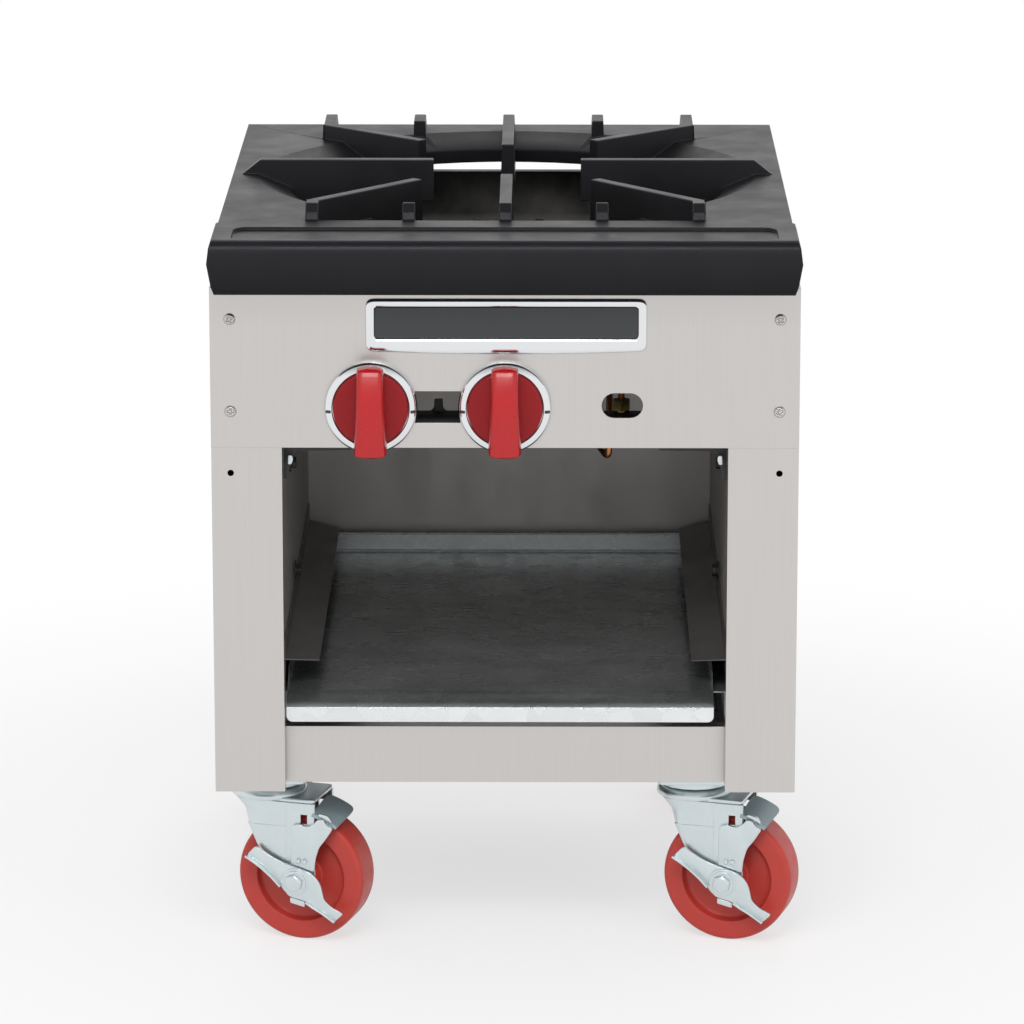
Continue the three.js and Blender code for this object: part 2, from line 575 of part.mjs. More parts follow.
function topGrate() {
  const half = DECK_WIDTH / 2;
  const under = DECK_TOP - DECK_THICK;
  const rimFoot = DECK_TOP - RIM_DEPTH;
  const deck = box(-half, half, DECK_FRONT - 2, BODY_DEPTH, under, DECK_TOP);
  const skirts = SIDES.map(([, side]) => {
    const wall = [side * (half - SKIRT), side * half].sort((a, b) => a - b);
    return box(...wall, 1, BODY_DEPTH, BODY_HEIGHT, under + 1);
  });
  const rearLip = box(-half, half, BODY_DEPTH - SKIRT, BODY_DEPTH, rimFoot + 4, under + 1);
  const collar = moved(rod(OPENING_R + RIM_WALL, rimFoot, under + 1, 56), shift(0, BURNER_Y, 0));
  const recessHalf = 2 * RIB.pitch + RIB.foot / 2;
  const recessRear = BURNER_Y - OPENING_R / 2;
  const recessBed = box(-recessHalf, recessHalf, RECESS.front - RECESS.wall, recessRear, rimFoot, under + 1);
  const bore = moved(turned([
    [0, -RIM_DEPTH - 1], [OPENING_R, -RIM_DEPTH - 1], [OPENING_R, -FUNNEL_DROP], [FUNNEL_R, 0],
    [FUNNEL_R, 1], [0, 1],
  ], 56), shift(0, BURNER_Y, DECK_TOP));
  const shell = cut(join(deck, noseBar(), ...skirts, rearLip, collar, recessBed), bore, frontRecess());
  return join(shell, ...ribs());
}

// The front ledge: a rounded bar over the control panel, with a shallow strip sunk in its top.
function noseBar() {
  const { reach, width, edge, wall } = NOSE;
  const bottom = BODY_HEIGHT + GAP;
  const section = new THREE.Shape();
  section.moveTo(DECK_FRONT, DECK_TOP);
  section.lineTo(edge - reach, DECK_TOP);
  section.quadraticCurveTo(-reach, DECK_TOP, -reach, DECK_TOP - edge);
  section.lineTo(-reach, bottom + 6);
  section.quadraticCurveTo(-reach, bottom, 6 - reach, bottom);
  section.lineTo(0, bottom);
  section.lineTo(0, BODY_HEIGHT);
  section.lineTo(wall, BODY_HEIGHT);
  section.lineTo(wall, DECK_TOP - DECK_THICK);
  section.lineTo(DECK_FRONT, DECK_TOP - DECK_THICK);
  const half = width / 2;
  const belly = [[5, -7], [5, 2], [3.2, 7], [0, 24.5], [1.6, 37], [3.4, 43]]; // (inset, height)
  const rightEnd = belly.map(([inset, height]) => [half - inset, bottom + height]);
  const frontView = [...rightEnd, ...rightEnd.toReversed().map(([x, z]) => [-x, z])];
  const bar = prismX(section, -half, half, 6).intersect(prismY(frontView, -reach - 1, DECK_FRONT + 1));
  const { width: stripWidth, y0, y1, depth, corner } = NOSE_STRIP;
  const strip = roundedRectangle(-stripWidth / 2, stripWidth / 2, y0, y1, corner);
  return cut(bar, prismZ(strip, DECK_TOP - depth, DECK_TOP + 1, 5));
}
add(cabinet, "top_grate", topGrate(), castIron);

// ---------------------------------------------------------------- drip tray
function dripTray() {
  const { leftGap, rightGap, floor, side, rear, front, apron, apronDrop, lip, back } = TRAY;
  const [x0, x1] = [leftGap - LINER_X, LINER_X - rightGap];
  const brow = floor - apronDrop;
  const line = [[back, rear], [back, floor], [apron, floor], [front, brow]];
  const pan = prismX(folded(line), x0, x1);
  const apronLip = new THREE.Shape();
  const r = 5;
  const lipTop = brow - 0.4 * SHEET; // inside the end of the sloping apron
  apronLip.moveTo(x0, lipTop);
  apronLip.lineTo(x0, brow - lip + r).absarc(x0 + r, brow - lip + r, r, Math.PI, 1.5 * Math.PI);
  apronLip.lineTo(x1 - r, brow - lip).absarc(x1 - r, brow - lip + r, r, -Math.PI / 2, 0);
  apronLip.lineTo(x1, lipTop);
  const inSheet = SHEET / 2;
  const wall = [
    [apron + 2, floor - inSheet], [apron + 24, side], [back - 30, side],
    [back, rear - inSheet], [back + inSheet, rear - inSheet], [back + inSheet, floor - inSheet],
  ];
  return join(
    pan,
    prismY(apronLip, front, front + SHEET, 4),
    prismX(wall, x0, x0 + SHEET),
    prismX(wall, x1 - SHEET, x1),
  );
}

function trayRunner(side) {
  const top = TRAY.floor - SHEET - GAP;
  const line = [[LINER_X, top - RUNNER.flange], [LINER_X, top], [LINER_X - RUNNER.shelf, top]];
  return prismY(mirrorX(folded(line), side), RUNNER.y0, RUNNER.y1);
}

function dripLedge(side) {
  const { reach, high, low, flange, y0, y1, slant } = LEDGE;
  const line = [[LINER_X, high + flange], [LINER_X, high], [LINER_X - reach, low]];
  const strip = prismY(mirrorX(folded(line.reverse()), side), y0, y1);
  const [near, far] = [LINER_X + 1, LINER_X - reach - 3];
  const slantCut = mirrorX([[near, y0 - 1], [near, y0], [far, y0 + slant], [far, y0 - 1]], side);
  return cut(strip, prismZ(slantCut, low - 10, high + flange + 10));
}

add(cabinet, "drip_tray", dripTray(), galvanised);
for (const [name, side] of SIDES) {
  add(cabinet, `tray_runner_${name}`, trayRunner(side), galvanised);
  add(cabinet, `drip_ledge_${name}`, dripLedge(side), darkSteel);
}

// ---------------------------------------------------------------- burner
const RING_Z = SUPPORT_TOP + GAP;
const RING_TOP = RING_Z + RING_HEIGHT;

function ring({ r, width }, ports) {
  const [a, b] = [r - width / 2, r + width / 2];
  const [brow, crown] = [RING_TOP - 9, RING_TOP - 1.5];
  const body = turned([[a, RING_Z], [b, RING_Z], [b, brow], [b - 5, crown], [a + 5, crown], [a, brow]], 28);
  const bosses = Array.from({ length: ports }, (_, i) => {
    const turn = ((i + 0.5) * 2 * Math.PI) / ports;
    return moved(rod(4, RING_TOP - 4, RING_TOP, 5), shift(r * Math.cos(turn), r * Math.sin(turn), 0));
  });
  return join(body, ...bosses);
}

// The two outer rings are one casting, joined by arms whose inner ends carry the inner ring.
function burnerOuter() {
  const [outer, middle, inner] = RINGS;
  const arms = [30, 150, 210, 330].map((turn) => {
    const bar = box(middle.r, outer.r, -7, 7, RING_Z - ARM_DROP, RING_TOP - 8);
    const seat = box(inner.r - 14, middle.r, -7, 7, RING_Z - ARM_DROP, RING_Z - GAP);
    return moved(join(bar, seat), spin(turn));
  });
  const feedX = VALVE_X[0];
  const feedY = -Math.sqrt(outer.r ** 2 - feedX ** 2);
  const neck = moved(rod(NECK_R, VENTURI.z - NECK_R, RING_Z + 4, 20), shift(feedX, feedY, 0));
  const collar = neckCollar(feedX, feedY);
  const rings = [ring(outer, PORTS[0]), ring(middle, PORTS[1])];
  return moved(join(...rings, ...arms, neck, collar), shift(0, BURNER_Y, 0));
}

function burnerInner() {
  const inner = RINGS[2];
  const feedX = VALVE_X[1];
  const neck = moved(rod(NECK_R, VENTURI.z - NECK_R, RING_Z + 4, 20), shift(feedX, -inner.r, 0));
  return moved(join(ring(inner, PORTS[2]), neck, neckCollar(feedX, -inner.r)), shift(0, BURNER_Y, 0));
}

// Flat-faced socket on a neck that a venturi butts against.
function neckCollar(x, y) {
  return rodY(VENTURI.end + 2, x, y - NECK_R - 6, y, VENTURI.z, 20);
}

function venturi(x, endY) {
  const { z, mouth, throat, end, wall, y0 } = VENTURI;
  const pinch = y0 + 26;
  const profile = [
    [mouth, y0], [mouth, y0 + 3], [throat + 4, pinch - 8], [throat, pinch], [end, endY],
    [end - wall, endY], [throat - wall, pinch], [throat + 1, pinch - 8],
    [mouth - wall, y0 + 2], [mouth - wall, y0],
  ];
  return moved(turned(profile, 18), shift(x, 0, z).multiply(layBack));
}

// Air shutter: a disc that turns on the orifice hood, with two windows.
function airShutter(x) {
  const { r, t, gap } = SHUTTER;
  const hub = VALVE.hood + 1.5 * GAP;
  const y1 = VENTURI.y0 - gap;
  const disc = new THREE.Shape().absarc(0, 0, r, 0, 2 * Math.PI);
  disc.holes.push(new THREE.Path().absarc(0, 0, hub, 0, 2 * Math.PI));
  for (const start of [0.15, Math.PI + 0.15]) {
    const window = new THREE.Path().absarc(0, 0, r - 4, start, start + 1.3);
    window.absarc(0, 0, hub + 4, start + 1.3, start, true);
    disc.holes.push(window);
  }
  return moved(prismY(disc, y1 - t, y1, 6), shift(x, 0, VENTURI.z));
}

function burnerSupport(y, direction) {
  const { leg, shelf, t } = SUPPORT;
  const line = [[y, SUPPORT_TOP - leg], [y, SUPPORT_TOP], [y + direction * shelf, SUPPORT_TOP]];
  return prismX(folded(direction > 0 ? line.reverse() : line, t), -LINER_X, LINER_X);
}

add(cabinet, "burner_outer", burnerOuter(), castIron);
add(cabinet, "burner_inner", burnerInner(), castIron);
add(cabinet, "burner_support_front", burnerSupport(SUPPORT.front, -1), galvanised);
add(cabinet, "burner_support_rear", burnerSupport(SUPPORT.rear, 1), galvanised);
const feedEnds = [BURNER_Y - Math.sqrt(RINGS[0].r ** 2 - VALVE_X[0] ** 2), BURNER_Y - RINGS[2].r];
VALVE_X.forEach((x, i) => {
  const name = SIDES[i][0];
  add(cabinet, `venturi_${name}`, venturi(x, feedEnds[i] - NECK_R - 6 - GAP), castIron);
  add(cabinet, `air_shutter_${name}`, airShutter(x), zincPlate);
});

// ---------------------------------------------------------------- gas train
function manifoldPipe() {
  const pipe = rod(PIPE_R, MANIFOLD.endGap - LINER_X, SUPPLY.x - SUPPLY.bend - GAP, 16);
  return moved(pipe, shift(0, MANIFOLD.y, MANIFOLD.z).multiply(layAlongX));
}

function gasInletPipe() {
  const { x, bend, bore, fitting } = SUPPLY;
  const { y, z } = MANIFOLD;
  const ends = [[x - bend, y, z], [x, y, z], [x, y + bend, z]];
  const elbow = tube(ends, PIPE_R + fitting, bend - 0.1, 6);
  const run = rodY(PIPE_R, x, y + bend - 1, SUPPLY_END, z, 16);
  return cut(join(elbow, run), rodY(bore, x, SUPPLY_END - 12, SUPPLY_END + 1, z, 16));
}

// Pilot valve: a hex fitting that stands on the manifold behind the oblong slot.
function pilotValve() {
  const { y, z } = MANIFOLD;
  const foot = rod(5, z, z + PIPE_R + 2, 12);
  const hex = hexRod(PILOT.nut, z + PIPE_R + 1, PILOT.seat);
  const saddle = moved(rod(PIPE_R + GAP, -20, 20, 24), shift(0, 0, z).multiply(layAlongX));
  return moved(cut(join(foot, hex), saddle), shift(PILOT_SLOT.x, y, 0));
}

// The tube rises from the fitting, drops behind the manifold and climbs to the pilot burner.
function pilotTube() {
  const { seat, rise, aside, behind, drop, burnerX, burnerY, inlet } = PILOT;
  const x = PILOT_SLOT.x;
  const { y } = MANIFOLD;
  const start = seat + GAP;
  return tube([
    [x, y, start], [x, y, start + rise], [x - aside, y + behind, start + rise], [x - aside, y + behind, drop],
    [burnerX, burnerY, drop + 20], [burnerX, burnerY, SUPPORT_TOP - inlet],
  ], PILOT_TUBE_R, 4, 40);
}

function pilotBurner() {
  const { burnerX: x, burnerY: y, clip, inlet, hoodFoot, hoodHeight } = PILOT;
  const foot = SUPPORT_TOP + hoodFoot;
  const stalk = rod(4, SUPPORT_TOP - inlet + GAP, foot + 1, 10);
  const hood = turned([[0, foot], [6, foot], [7, foot + 7], [0, foot + hoodHeight]], 12);
  const under = SUPPORT_TOP - SUPPORT.leg + 5;
  const arm = box(x - clip / 2, x + clip / 2, SUPPORT.front, y - 1, under, under + SHEET);
  const pad = box(x - clip / 2, x + clip / 2, SUPPORT.front, SUPPORT.front + SHEET, under, under + 10);
  return join(moved(join(stalk, hood), shift(x, y, 0)), arm, pad);
}

add(cabinet, "manifold_pipe", manifoldPipe(), blackPipe);
add(cabinet, "gas_inlet_pipe", gasInletPipe(), blackPipe);
add(cabinet, "pilot_valve", pilotValve(), brass);
add(cabinet, "pilot_tube", pilotTube(), copper);
add(cabinet, "pilot_burner", pilotBurner(), zincPlate);

// ---------------------------------------------------------------- casters
// Local frame: swivel axis Z, wheel rolling along X, the braked face towards -Y.
const LEG_Y = WHEEL.width / 2 + FORK.gap; // inner face of a fork leg

function casterPlate() {
  const { x, y, t, hole, inset } = PLATE;
  const outline = roundedRectangle(-x / 2, x / 2, -y / 2, y / 2, 6);
  for (const sx of [-1, 1]) {
    for (const sy of [-1, 1]) {
      const at = [sx * (x / 2 - inset), sy * (y / 2 - inset)];
      outline.holes.push(new THREE.Path().absarc(...at, hole, 0, 2 * Math.PI));
    }
  }
  const { r, head, headDepth } = KINGPIN;
  const headTop = FORK.top - FORK.t - 0.5;
  const raceFoot = FORK.top + GAP;
  const race = turned([
    [0, 0.5 - t], [RACE_R - 5, 0.5 - t], [RACE_R, -t - 4], [RACE_R, raceFoot], [0, raceFoot],
  ], 18);
  const pin = turned([
    [0, raceFoot + 1], [r, raceFoot + 1], [r, headTop], [head, headTop],
    [head - 2, headTop - headDepth], [0, headTop - headDepth],
  ], 12);
  return join(prismZ(outline, -t, 0, 3), race, pin);
}

// Two pressed legs under a round crown, joined by a web at their back and slanted to the axle.
function fork() {
  const { t, crown, top, bridge, right, webFoot } = FORK;
  const outer = LEG_Y + t;
  const disc = rod(crown, top - t, top, 18);
  const hollow = rod(crown - t, bridge - 1, top - t, 18);
  const cup = cut(rod(crown, bridge, top - t, 18), hollow);
  const legOutline = new THREE.Shape();
  legOutline.moveTo(-crown + 5, top - t);
  legOutline.lineTo(-crown + 5, bridge - 1);
  legOutline.lineTo(-21, -34);
  legOutline.lineTo(-13.6, -54.5);
  legOutline.lineTo(-8.7, -66);
  legOutline.lineTo(LEAD - 16, WHEEL_Z - 3);
  legOutline.absarc(LEAD, WHEEL_Z, 15, Math.PI, 2 * Math.PI);
  legOutline.lineTo(LEAD + 15, -52);
  legOutline.lineTo(right, bridge - 6);
  legOutline.lineTo(right, bridge);
  legOutline.lineTo(right - 8, top - t);
  legOutline.holes.push(rectangle(LEAD + 1, LEAD + 7, bridge - 17, bridge - 8));
  legOutline.holes.push(new THREE.Path().absarc(LEAD, WHEEL_Z, AXLE.hole, 0, 2 * Math.PI));
  const leg = prismY(legOutline, -outer, -LEG_Y, 4);
  const farLeg = prismY(legOutline, LEG_Y, outer, 4);
  const roof = box(-crown + 5, right - 8, -outer, outer, top - t, top - t + t);
  const back = prismY(folded([[-13.6, webFoot], [-21, -34], [-crown + 5, bridge]], t), -outer, outer);
  const bore = rod(KINGPIN.r + 0.5, bridge - 2, top + 1, 12);
  return cut(join(disc, roof, leg, farLeg, back, cutToLegs(cup, outer)), bore);
}

// Keeps the crown's rim between the legs only.
function cutToLegs(cup, outer) {
  return cup.intersect(box(-FORK.crown, 0, -outer, outer, FORK.bridge, FORK.top));
}

function wheel() {
  const { r, width, dish, dishFoot, dishDepth, hub, bore, edge } = WHEEL;
  const w = width / 2;
  const half = [
    [bore, w + 1.2], [hub - 2, w + 1.2], [hub, w - dishDepth + 1.5], [dishFoot, w - dishDepth],
    [dish, w], [r - edge, w], [r, w - edge],
  ];
  const profile = [...half, ...half.toReversed().map(([radius, z]) => [radius, -z])];
  return moved(turned(profile, 22), shift(LEAD, 0, WHEEL_Z).multiply(layBack));
}

function axle(braked) {
  const outer = LEG_Y + FORK.t;
  const washerAt = braked ? outer + 2 * GAP + 2 * LEVER.t : outer + GAP;
  const shaft = rod(AXLE.r, -washerAt - 1, outer + 5, 12);
  const washer = rod(AXLE.washer, -washerAt - 2, -washerAt, 16);
  const head = hexRod(2 * AXLE.head, -washerAt - 2 - AXLE.headDepth, -washerAt - 1);
  const nut = hexRod(2 * AXLE.head, outer + GAP, outer + GAP + 6);
  return moved(join(shaft, washer, head, nut), shift(LEAD, 0, WHEEL_Z).multiply(layBack));
}

// Pressed lever: a lobed body on the axle and two arms that flare at their ends.
function brakeLever() {
  const { arm, t, body, neck, end } = LEVER;
  const y1 = -(LEG_Y + FORK.t + LEVER.t + 2 * GAP) + GAP / 2;
  const shape = new THREE.Shape();
  shape.moveTo(-arm, -end);
  shape.quadraticCurveTo(-arm / 2, -neck - 3, -body, -body + 2);
  shape.lineTo(-body + 3, -body - 3);
  shape.lineTo(body - 4, -body - 1);
  shape.quadraticCurveTo(arm / 2, -neck - 1, arm - 8, -neck);
  shape.lineTo(arm, -end);
  shape.lineTo(arm - 1, end - 1);
  shape.quadraticCurveTo(arm - 14, neck - 2, arm / 2 + 4, neck + 1);
  shape.quadraticCurveTo(body + 4, body + 1, 4, body - 1);
  shape.quadraticCurveTo(-body, body - 3, -arm / 2, neck + 2);
  shape.lineTo(-arm, end);
  shape.holes.push(new THREE.Path().absarc(0, 0, AXLE.hole, 0, 2 * Math.PI));
  const plate = prismY(shape, y1 - t, y1, 6);
  const hem = box(-arm, -body - 2, y1 - t - 3, y1 - t + 1, -end, -end + 2.5);
  const tilt = new THREE.Matrix4().makeRotationY(THREE.MathUtils.degToRad(-LEVER.tilt));
  return moved(join(plate, hem), shift(LEAD, 0, WHEEL_Z).multiply(tilt));
}

// Brake plate on the outside of the leg, with an arm over the tread that carries the curved shoe.
function brakeShoe() {
  const outer = LEG_Y + FORK.t;
  const y1 = -outer - GAP;
  const plateT = LEVER.t - GAP;
  const inner = WHEEL.r + SHOE.clearance;
  const shape = new THREE.Shape();
  shape.moveTo(-12, 16);
  shape.lineTo(-12, 45);
  shape.quadraticCurveTo(-12, 47, -10, 47);
  shape.lineTo(6, 47);
  shape.lineTo(8, 52);
  shape.lineTo(18, 55);
  shape.lineTo(30, 49);
  shape.quadraticCurveTo(22, 34, 13, 28);
  shape.quadraticCurveTo(10, 24, 9, 16);
  const plate = prismY(shape, y1 - plateT, y1, 5);
  const [a0, a1] = [SHOE.from, SHOE.to].map(THREE.MathUtils.degToRad);
  const arc = new THREE.Shape().absarc(0, 0, inner + SHOE.t, a0, a1);
  arc.absarc(0, 0, inner, a1, a0, true);
  const pad = prismY(arc, y1 - plateT, SHOE.width / 2 - 3, 7);
  return moved(join(plate, pad), shift(LEAD, 0, WHEEL_Z));
}

for (const [side] of SIDES) {
  for (const row of ["front", "rear"]) {
    const braked = row === "front";
    const caster = new THREE.Group();
    caster.position.set(CASTER_X[side], CASTER_Y[row], 0);
    cabinet.add(caster);
    const label = `${row}_${side}`;
    add(caster, `caster_plate_${label}`, casterPlate(), zincPlate);
    const swivel = new THREE.Group();
    swivel.rotation.z = THREE.MathUtils.degToRad(braked ? FRONT_SWIVEL : REAR_SWIVEL);
    caster.add(swivel);
    add(swivel, `caster_fork_${label}`, fork(), zincPlate);
    add(swivel, `caster_wheel_${label}`, wheel(), redUrethane);
    add(swivel, `caster_axle_${label}`, axle(braked), zincPlate);
    if (braked) {
      add(swivel, `brake_lever_${side}`, brakeLever(), zincPlate);
      add(swivel, `brake_shoe_${side}`, brakeShoe(), zincPlate);
    }
  }
}

export default range;
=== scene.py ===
"""Looks of a stock pot range: surfaces, finishes, small hardware and the studio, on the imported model.

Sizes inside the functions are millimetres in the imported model's frame: +X to the cook's right,
+Y to the back, +Z up from the floor. Meshes are written in metres.
"""
import json
import math

import bmesh
import bpy
import numpy as np
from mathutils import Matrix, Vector


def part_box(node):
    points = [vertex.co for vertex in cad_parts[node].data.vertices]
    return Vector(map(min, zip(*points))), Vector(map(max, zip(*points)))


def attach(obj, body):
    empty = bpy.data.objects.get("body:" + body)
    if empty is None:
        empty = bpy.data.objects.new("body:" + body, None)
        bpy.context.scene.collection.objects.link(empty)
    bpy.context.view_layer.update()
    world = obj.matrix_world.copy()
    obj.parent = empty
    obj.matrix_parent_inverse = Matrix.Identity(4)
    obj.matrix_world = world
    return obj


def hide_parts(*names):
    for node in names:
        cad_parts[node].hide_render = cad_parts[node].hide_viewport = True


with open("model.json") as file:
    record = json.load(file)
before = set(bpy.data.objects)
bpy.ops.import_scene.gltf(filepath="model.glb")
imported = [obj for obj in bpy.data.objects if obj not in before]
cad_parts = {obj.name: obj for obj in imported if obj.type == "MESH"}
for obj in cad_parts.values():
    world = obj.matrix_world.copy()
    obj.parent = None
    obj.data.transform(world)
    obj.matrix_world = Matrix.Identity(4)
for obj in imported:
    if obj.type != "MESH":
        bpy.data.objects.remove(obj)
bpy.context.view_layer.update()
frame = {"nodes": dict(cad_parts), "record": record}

bl_info = {
    "name": "Stock Pot Range",
    "version": (1, 0, 0),
    "blender": (4, 5, 0),
    "location": "3D View > Sidebar > Range",
    "description": "Finishes, hardware and studio for a stock pot range",
    "category": "Object",
}

PANEL_Y = -239.5  # control panel's face
KNOB_X = (-104.0, 0.0)
KNOB_Z = 452.0
SIDES = (("left", -1.0), ("right", 1.0))
CORNERS = ("front_left", "rear_left", "front_right", "rear_right")
AXLE_Z = 52.5
LEG_FACE = 24.6  # outer face of a fork leg from the wheel's middle
MANIFOLD = (-185.5, 426.0)  # y and z of the gas manifold's axis
BADGE_Z = 517.0  # middle of the badge plate
LINER_X = 173.5  # liners' inner faces from the middle
OPENING = (172.9, 418.6)  # upper corner of the front opening, x from the middle and z
RACE_LEAD = 31.0  # swivel axis behind the wheel's axle
FORK_BACK = np.array([(0, -15.5), (12, -24), (26.3, -34.2), (37.9, -39.2), (44, -41.7), (55.9, -46.7), (65, -57)])

FRONT = dict(u=(1, 0, 0), v=(0, 0, 1), w=(0, -1, 0))  # local c points to the cook
UPRIGHT = dict(u=(1, 0, 0), v=(0, 0, 1), w=(0, 1, 0))  # in a caster's frame, c points up


def srgb(value):
    """Linear RGBA of an sRGB hex colour."""
    parts = [int(value[i : i + 2], 16) / 255 for i in (1, 3, 5)]
    return tuple(c / 12.92 if c < 0.04045 else ((c + 0.055) / 1.055) ** 2.4 for c in parts) + (1.0,)


def length(name, text, mm):
    """Property for a size, given in millimetres and kept in metres."""
    return bpy.props.FloatProperty(
        name=name, description=text, default=mm / 1000, unit="LENGTH", subtype="DISTANCE", precision=5
    )


def colour(name, text, value):
    """Property for a colour, given as sRGB hex and kept linear."""
    return bpy.props.FloatVectorProperty(
        name=name, description=text, default=srgb(value), size=4, min=0, max=1, subtype="COLOR"
    )


class RangeSizes(bpy.types.PropertyGroup):
    sheet_edge: length("Sheet edge", "Rounding of the sheet metal's edges", 0.35)
    cast_edge: length("Cast edge", "Rounding of the castings' edges", 0.9)
    screw_head: length("Screw head", "Diameter of the panel screws' pan heads", 9.4)
    bolt_head: length("Bolt head", "Width across flats of the liner bolts", 9.0)
    grain: length("Grain", "Width of one line of the brushed grain", 1.1)
    grit: length("Grit", "Size of the sand texture on the castings", 1.4)
    spangle: length("Spangle", "Size of a zinc crystal on galvanised sheet", 16.0)


class RangeColours(bpy.types.PropertyGroup):
    stainless: colour("Stainless", "Brushed stainless sheet", "#CECBC9")
    interior: colour("Interior", "Dull sheet inside the cabinet", "#A8A5A2")
    # Painted shade: a darker copy of the interior sheet for the drip ledges
    ledge: colour("Ledges", "Dark sheet of the drip ledges", "#6E6C6B")
    # Painted shade on the interior sheet under the cast top
    under_top_shade: colour("Under-top shade", "Painted shade on the sheet under the cast top", "#171615")
    galvanised: colour("Galvanised", "Zinc-coated sheet", "#E6E9EA")
    # Painted shade on the zinc inside the cabinet, behind the tray's front lip
    cabinet_shade_zinc: colour("Shaded zinc", "Zinc-coated sheet in painted shade inside the cabinet", "#7F8283")
    cast_iron: colour("Cast iron", "Seasoned cast iron", "#19191A")
    # Painted highlight on the tops of the ribs
    lit_rib_top: colour("Lit rib tops", "Painted highlight on the tops of the ribs", "#38383B")
    chrome: colour("Chrome", "Bezels and badge frame", "#E4E6E8")
    badge: colour("Badge", "Dark enamel of the badge", "#232629")
    knob: colour("Knob bar", "Handle bar of a knob", "#AE0A12")
    # Painted shade: the knob's disc is darker than its bar, where it sits recessed
    knob_disc: colour("Shaded knob disc", "Disc behind the handle bar", "#8A0F16")
    wheel: colour("Wheel", "Moulded wheel", "#B83A31")
    zinc: colour("Zinc", "Plated caster steel", "#D6DFE1")
    brake: colour("Brake", "Plated brake parts", "#9DADB2")
    brass: colour("Brass", "Valves and fittings", "#6F6338")
    copper: colour("Copper", "Pilot tube", "#B4744C")
    pipe: colour("Black pipe", "Painted iron pipe", "#2B2A29")
    floor: colour("Floor", "Studio floor and backdrop", "#EDEDED")


# ------------------------------------------------------------------ surfaces
def rounded(corners, radius, steps=5, closed=True):
    """Outline with each corner replaced by a quadratic curve that starts radius away from it,
    or less than half a side away on a short side. Works on 2-D and 3-D corners."""
    p = np.asarray(corners, float)
    r = np.broadcast_to(np.asarray(radius, float), len(p))[:, None]
    back, on = np.roll(p, 1, 0) - p, np.roll(p, -1, 0) - p
    far_back = np.linalg.norm(back, axis=1, keepdims=True)
    far_on = np.linalg.norm(on, axis=1, keepdims=True)
    a = p + back / far_back * np.minimum(r, 0.45 * far_back)
    b = p + on / far_on * np.minimum(r, 0.45 * far_on)
    t = np.linspace(0, 1, steps)[None, :, None]
    curve = (1 - t) ** 2 * a[:, None] + 2 * t * (1 - t) * p[:, None] + t**2 * b[:, None]
    if closed:
        return curve.reshape(-1, p.shape[1])
    return np.vstack([p[:1], curve[1:-1].reshape(-1, p.shape[1]), p[-1:]])


def dense(line, parts, closed=True):
    """Each straight piece of a line cut in equal parts."""
    p = np.asarray(line, float)
    after = np.roll(p, -1, 0) if closed else p[1:]
    start = p if closed else p[:-1]
    t = np.arange(parts)[None, :, None] / parts
    cut = (start[:, None] * (1 - t) + after[:, None] * t).reshape(-1, p.shape[1])
    return cut if closed else np.vstack([cut, p[-1:]])


def inset(outline, amount):
    """A closed outline moved inwards: each point goes along the mean of its two sides' normals."""
    p = np.asarray(outline, float)
    on = np.roll(p, -1, 0) - p
    on /= np.maximum(np.linalg.norm(on, axis=1, keepdims=True), 1e-9)
    normal = np.stack([-on[:, 1], on[:, 0]], 1)
    area = np.sum(p[:, 0] * np.roll(p[:, 1], -1) - p[:, 1] * np.roll(p[:, 0], -1))
    mean = normal + np.roll(normal, 1, 0)
    mean /= np.maximum(np.linalg.norm(mean, axis=1, keepdims=True), 1e-9)
    return p + mean * amount * np.sign(area)


def quads(rows, columns, wrap_rows=False, wrap_columns=True):
    """Index of every quad of a grid of rows and columns, with the ends joined where wrap says so."""
    i = np.arange(rows if wrap_rows else rows - 1)[:, None]
    j = np.arange(columns if wrap_columns else columns - 1)[None, :]
    i1, j1 = (i + 1) % rows, (j + 1) % columns
    return np.stack([i * columns + j, i * columns + j1, i1 * columns + j1, i1 * columns + j], -1).reshape(-1, 4)


def capped(rows, columns):
    """Quads of a tube of rows and columns, and one flat face over each of its two ends."""
    ends = [list(range(columns)), list(range((rows - 1) * columns, rows * columns))]
    return quads(rows, columns).tolist() + ends


def circle(radius, count, start=0.0):
    """Points evenly round a circle in (a, b); with a count of 6 it is a hexagon."""
    t = np.arange(count) * 2 * np.pi / count + start
    return np.stack([radius * np.cos(t), radius * np.sin(t)], 1)


def placed(points, origin=(0, 0, 0), u=(1, 0, 0), v=(0, 1, 0), w=(0, 0, 1)):
    """Local (a, b, c) goes to origin + a u + b v + c w."""
    return np.asarray(origin, float) + np.asarray(points, float) @ np.array([u, v, w], float)


def turned(profile, segments, **place):
    """Surface of revolution: (radius r, height h) goes to (r cos t, r sin t, h) for t round the circle.
    The profile is closed, so the surface is a ring; a profile that touches r = 0 gives a solid disc."""
    p = np.asarray(profile, float)
    t = np.arange(segments) * 2 * np.pi / segments
    grid = np.stack(
        [p[:, :1] * np.cos(t), p[:, :1] * np.sin(t), np.repeat(p[:, 1:], segments, 1)], -1
    ).reshape(-1, 3)
    return placed(grid, **place), quads(len(p), segments, wrap_rows=True).tolist()


def plate(outline, thickness, edge, **place):
    """Flat plate on a closed outline in (a, b), from c = 0 to thickness, its edges rounded by insetting
    the first and last layers along a quarter circle."""
    turn = np.linspace(0, np.pi / 2, 4)
    low = [(edge * (1 - math.sin(q)), edge * (1 - math.cos(q))) for q in turn]
    layers = low + [(inwards, thickness - h) for inwards, h in reversed(low)]
    rings = [np.column_stack([inset(outline, i), np.full(len(outline), h)]) for i, h in layers]
    return placed(np.vstack(rings), **place), capped(len(layers), len(outline))


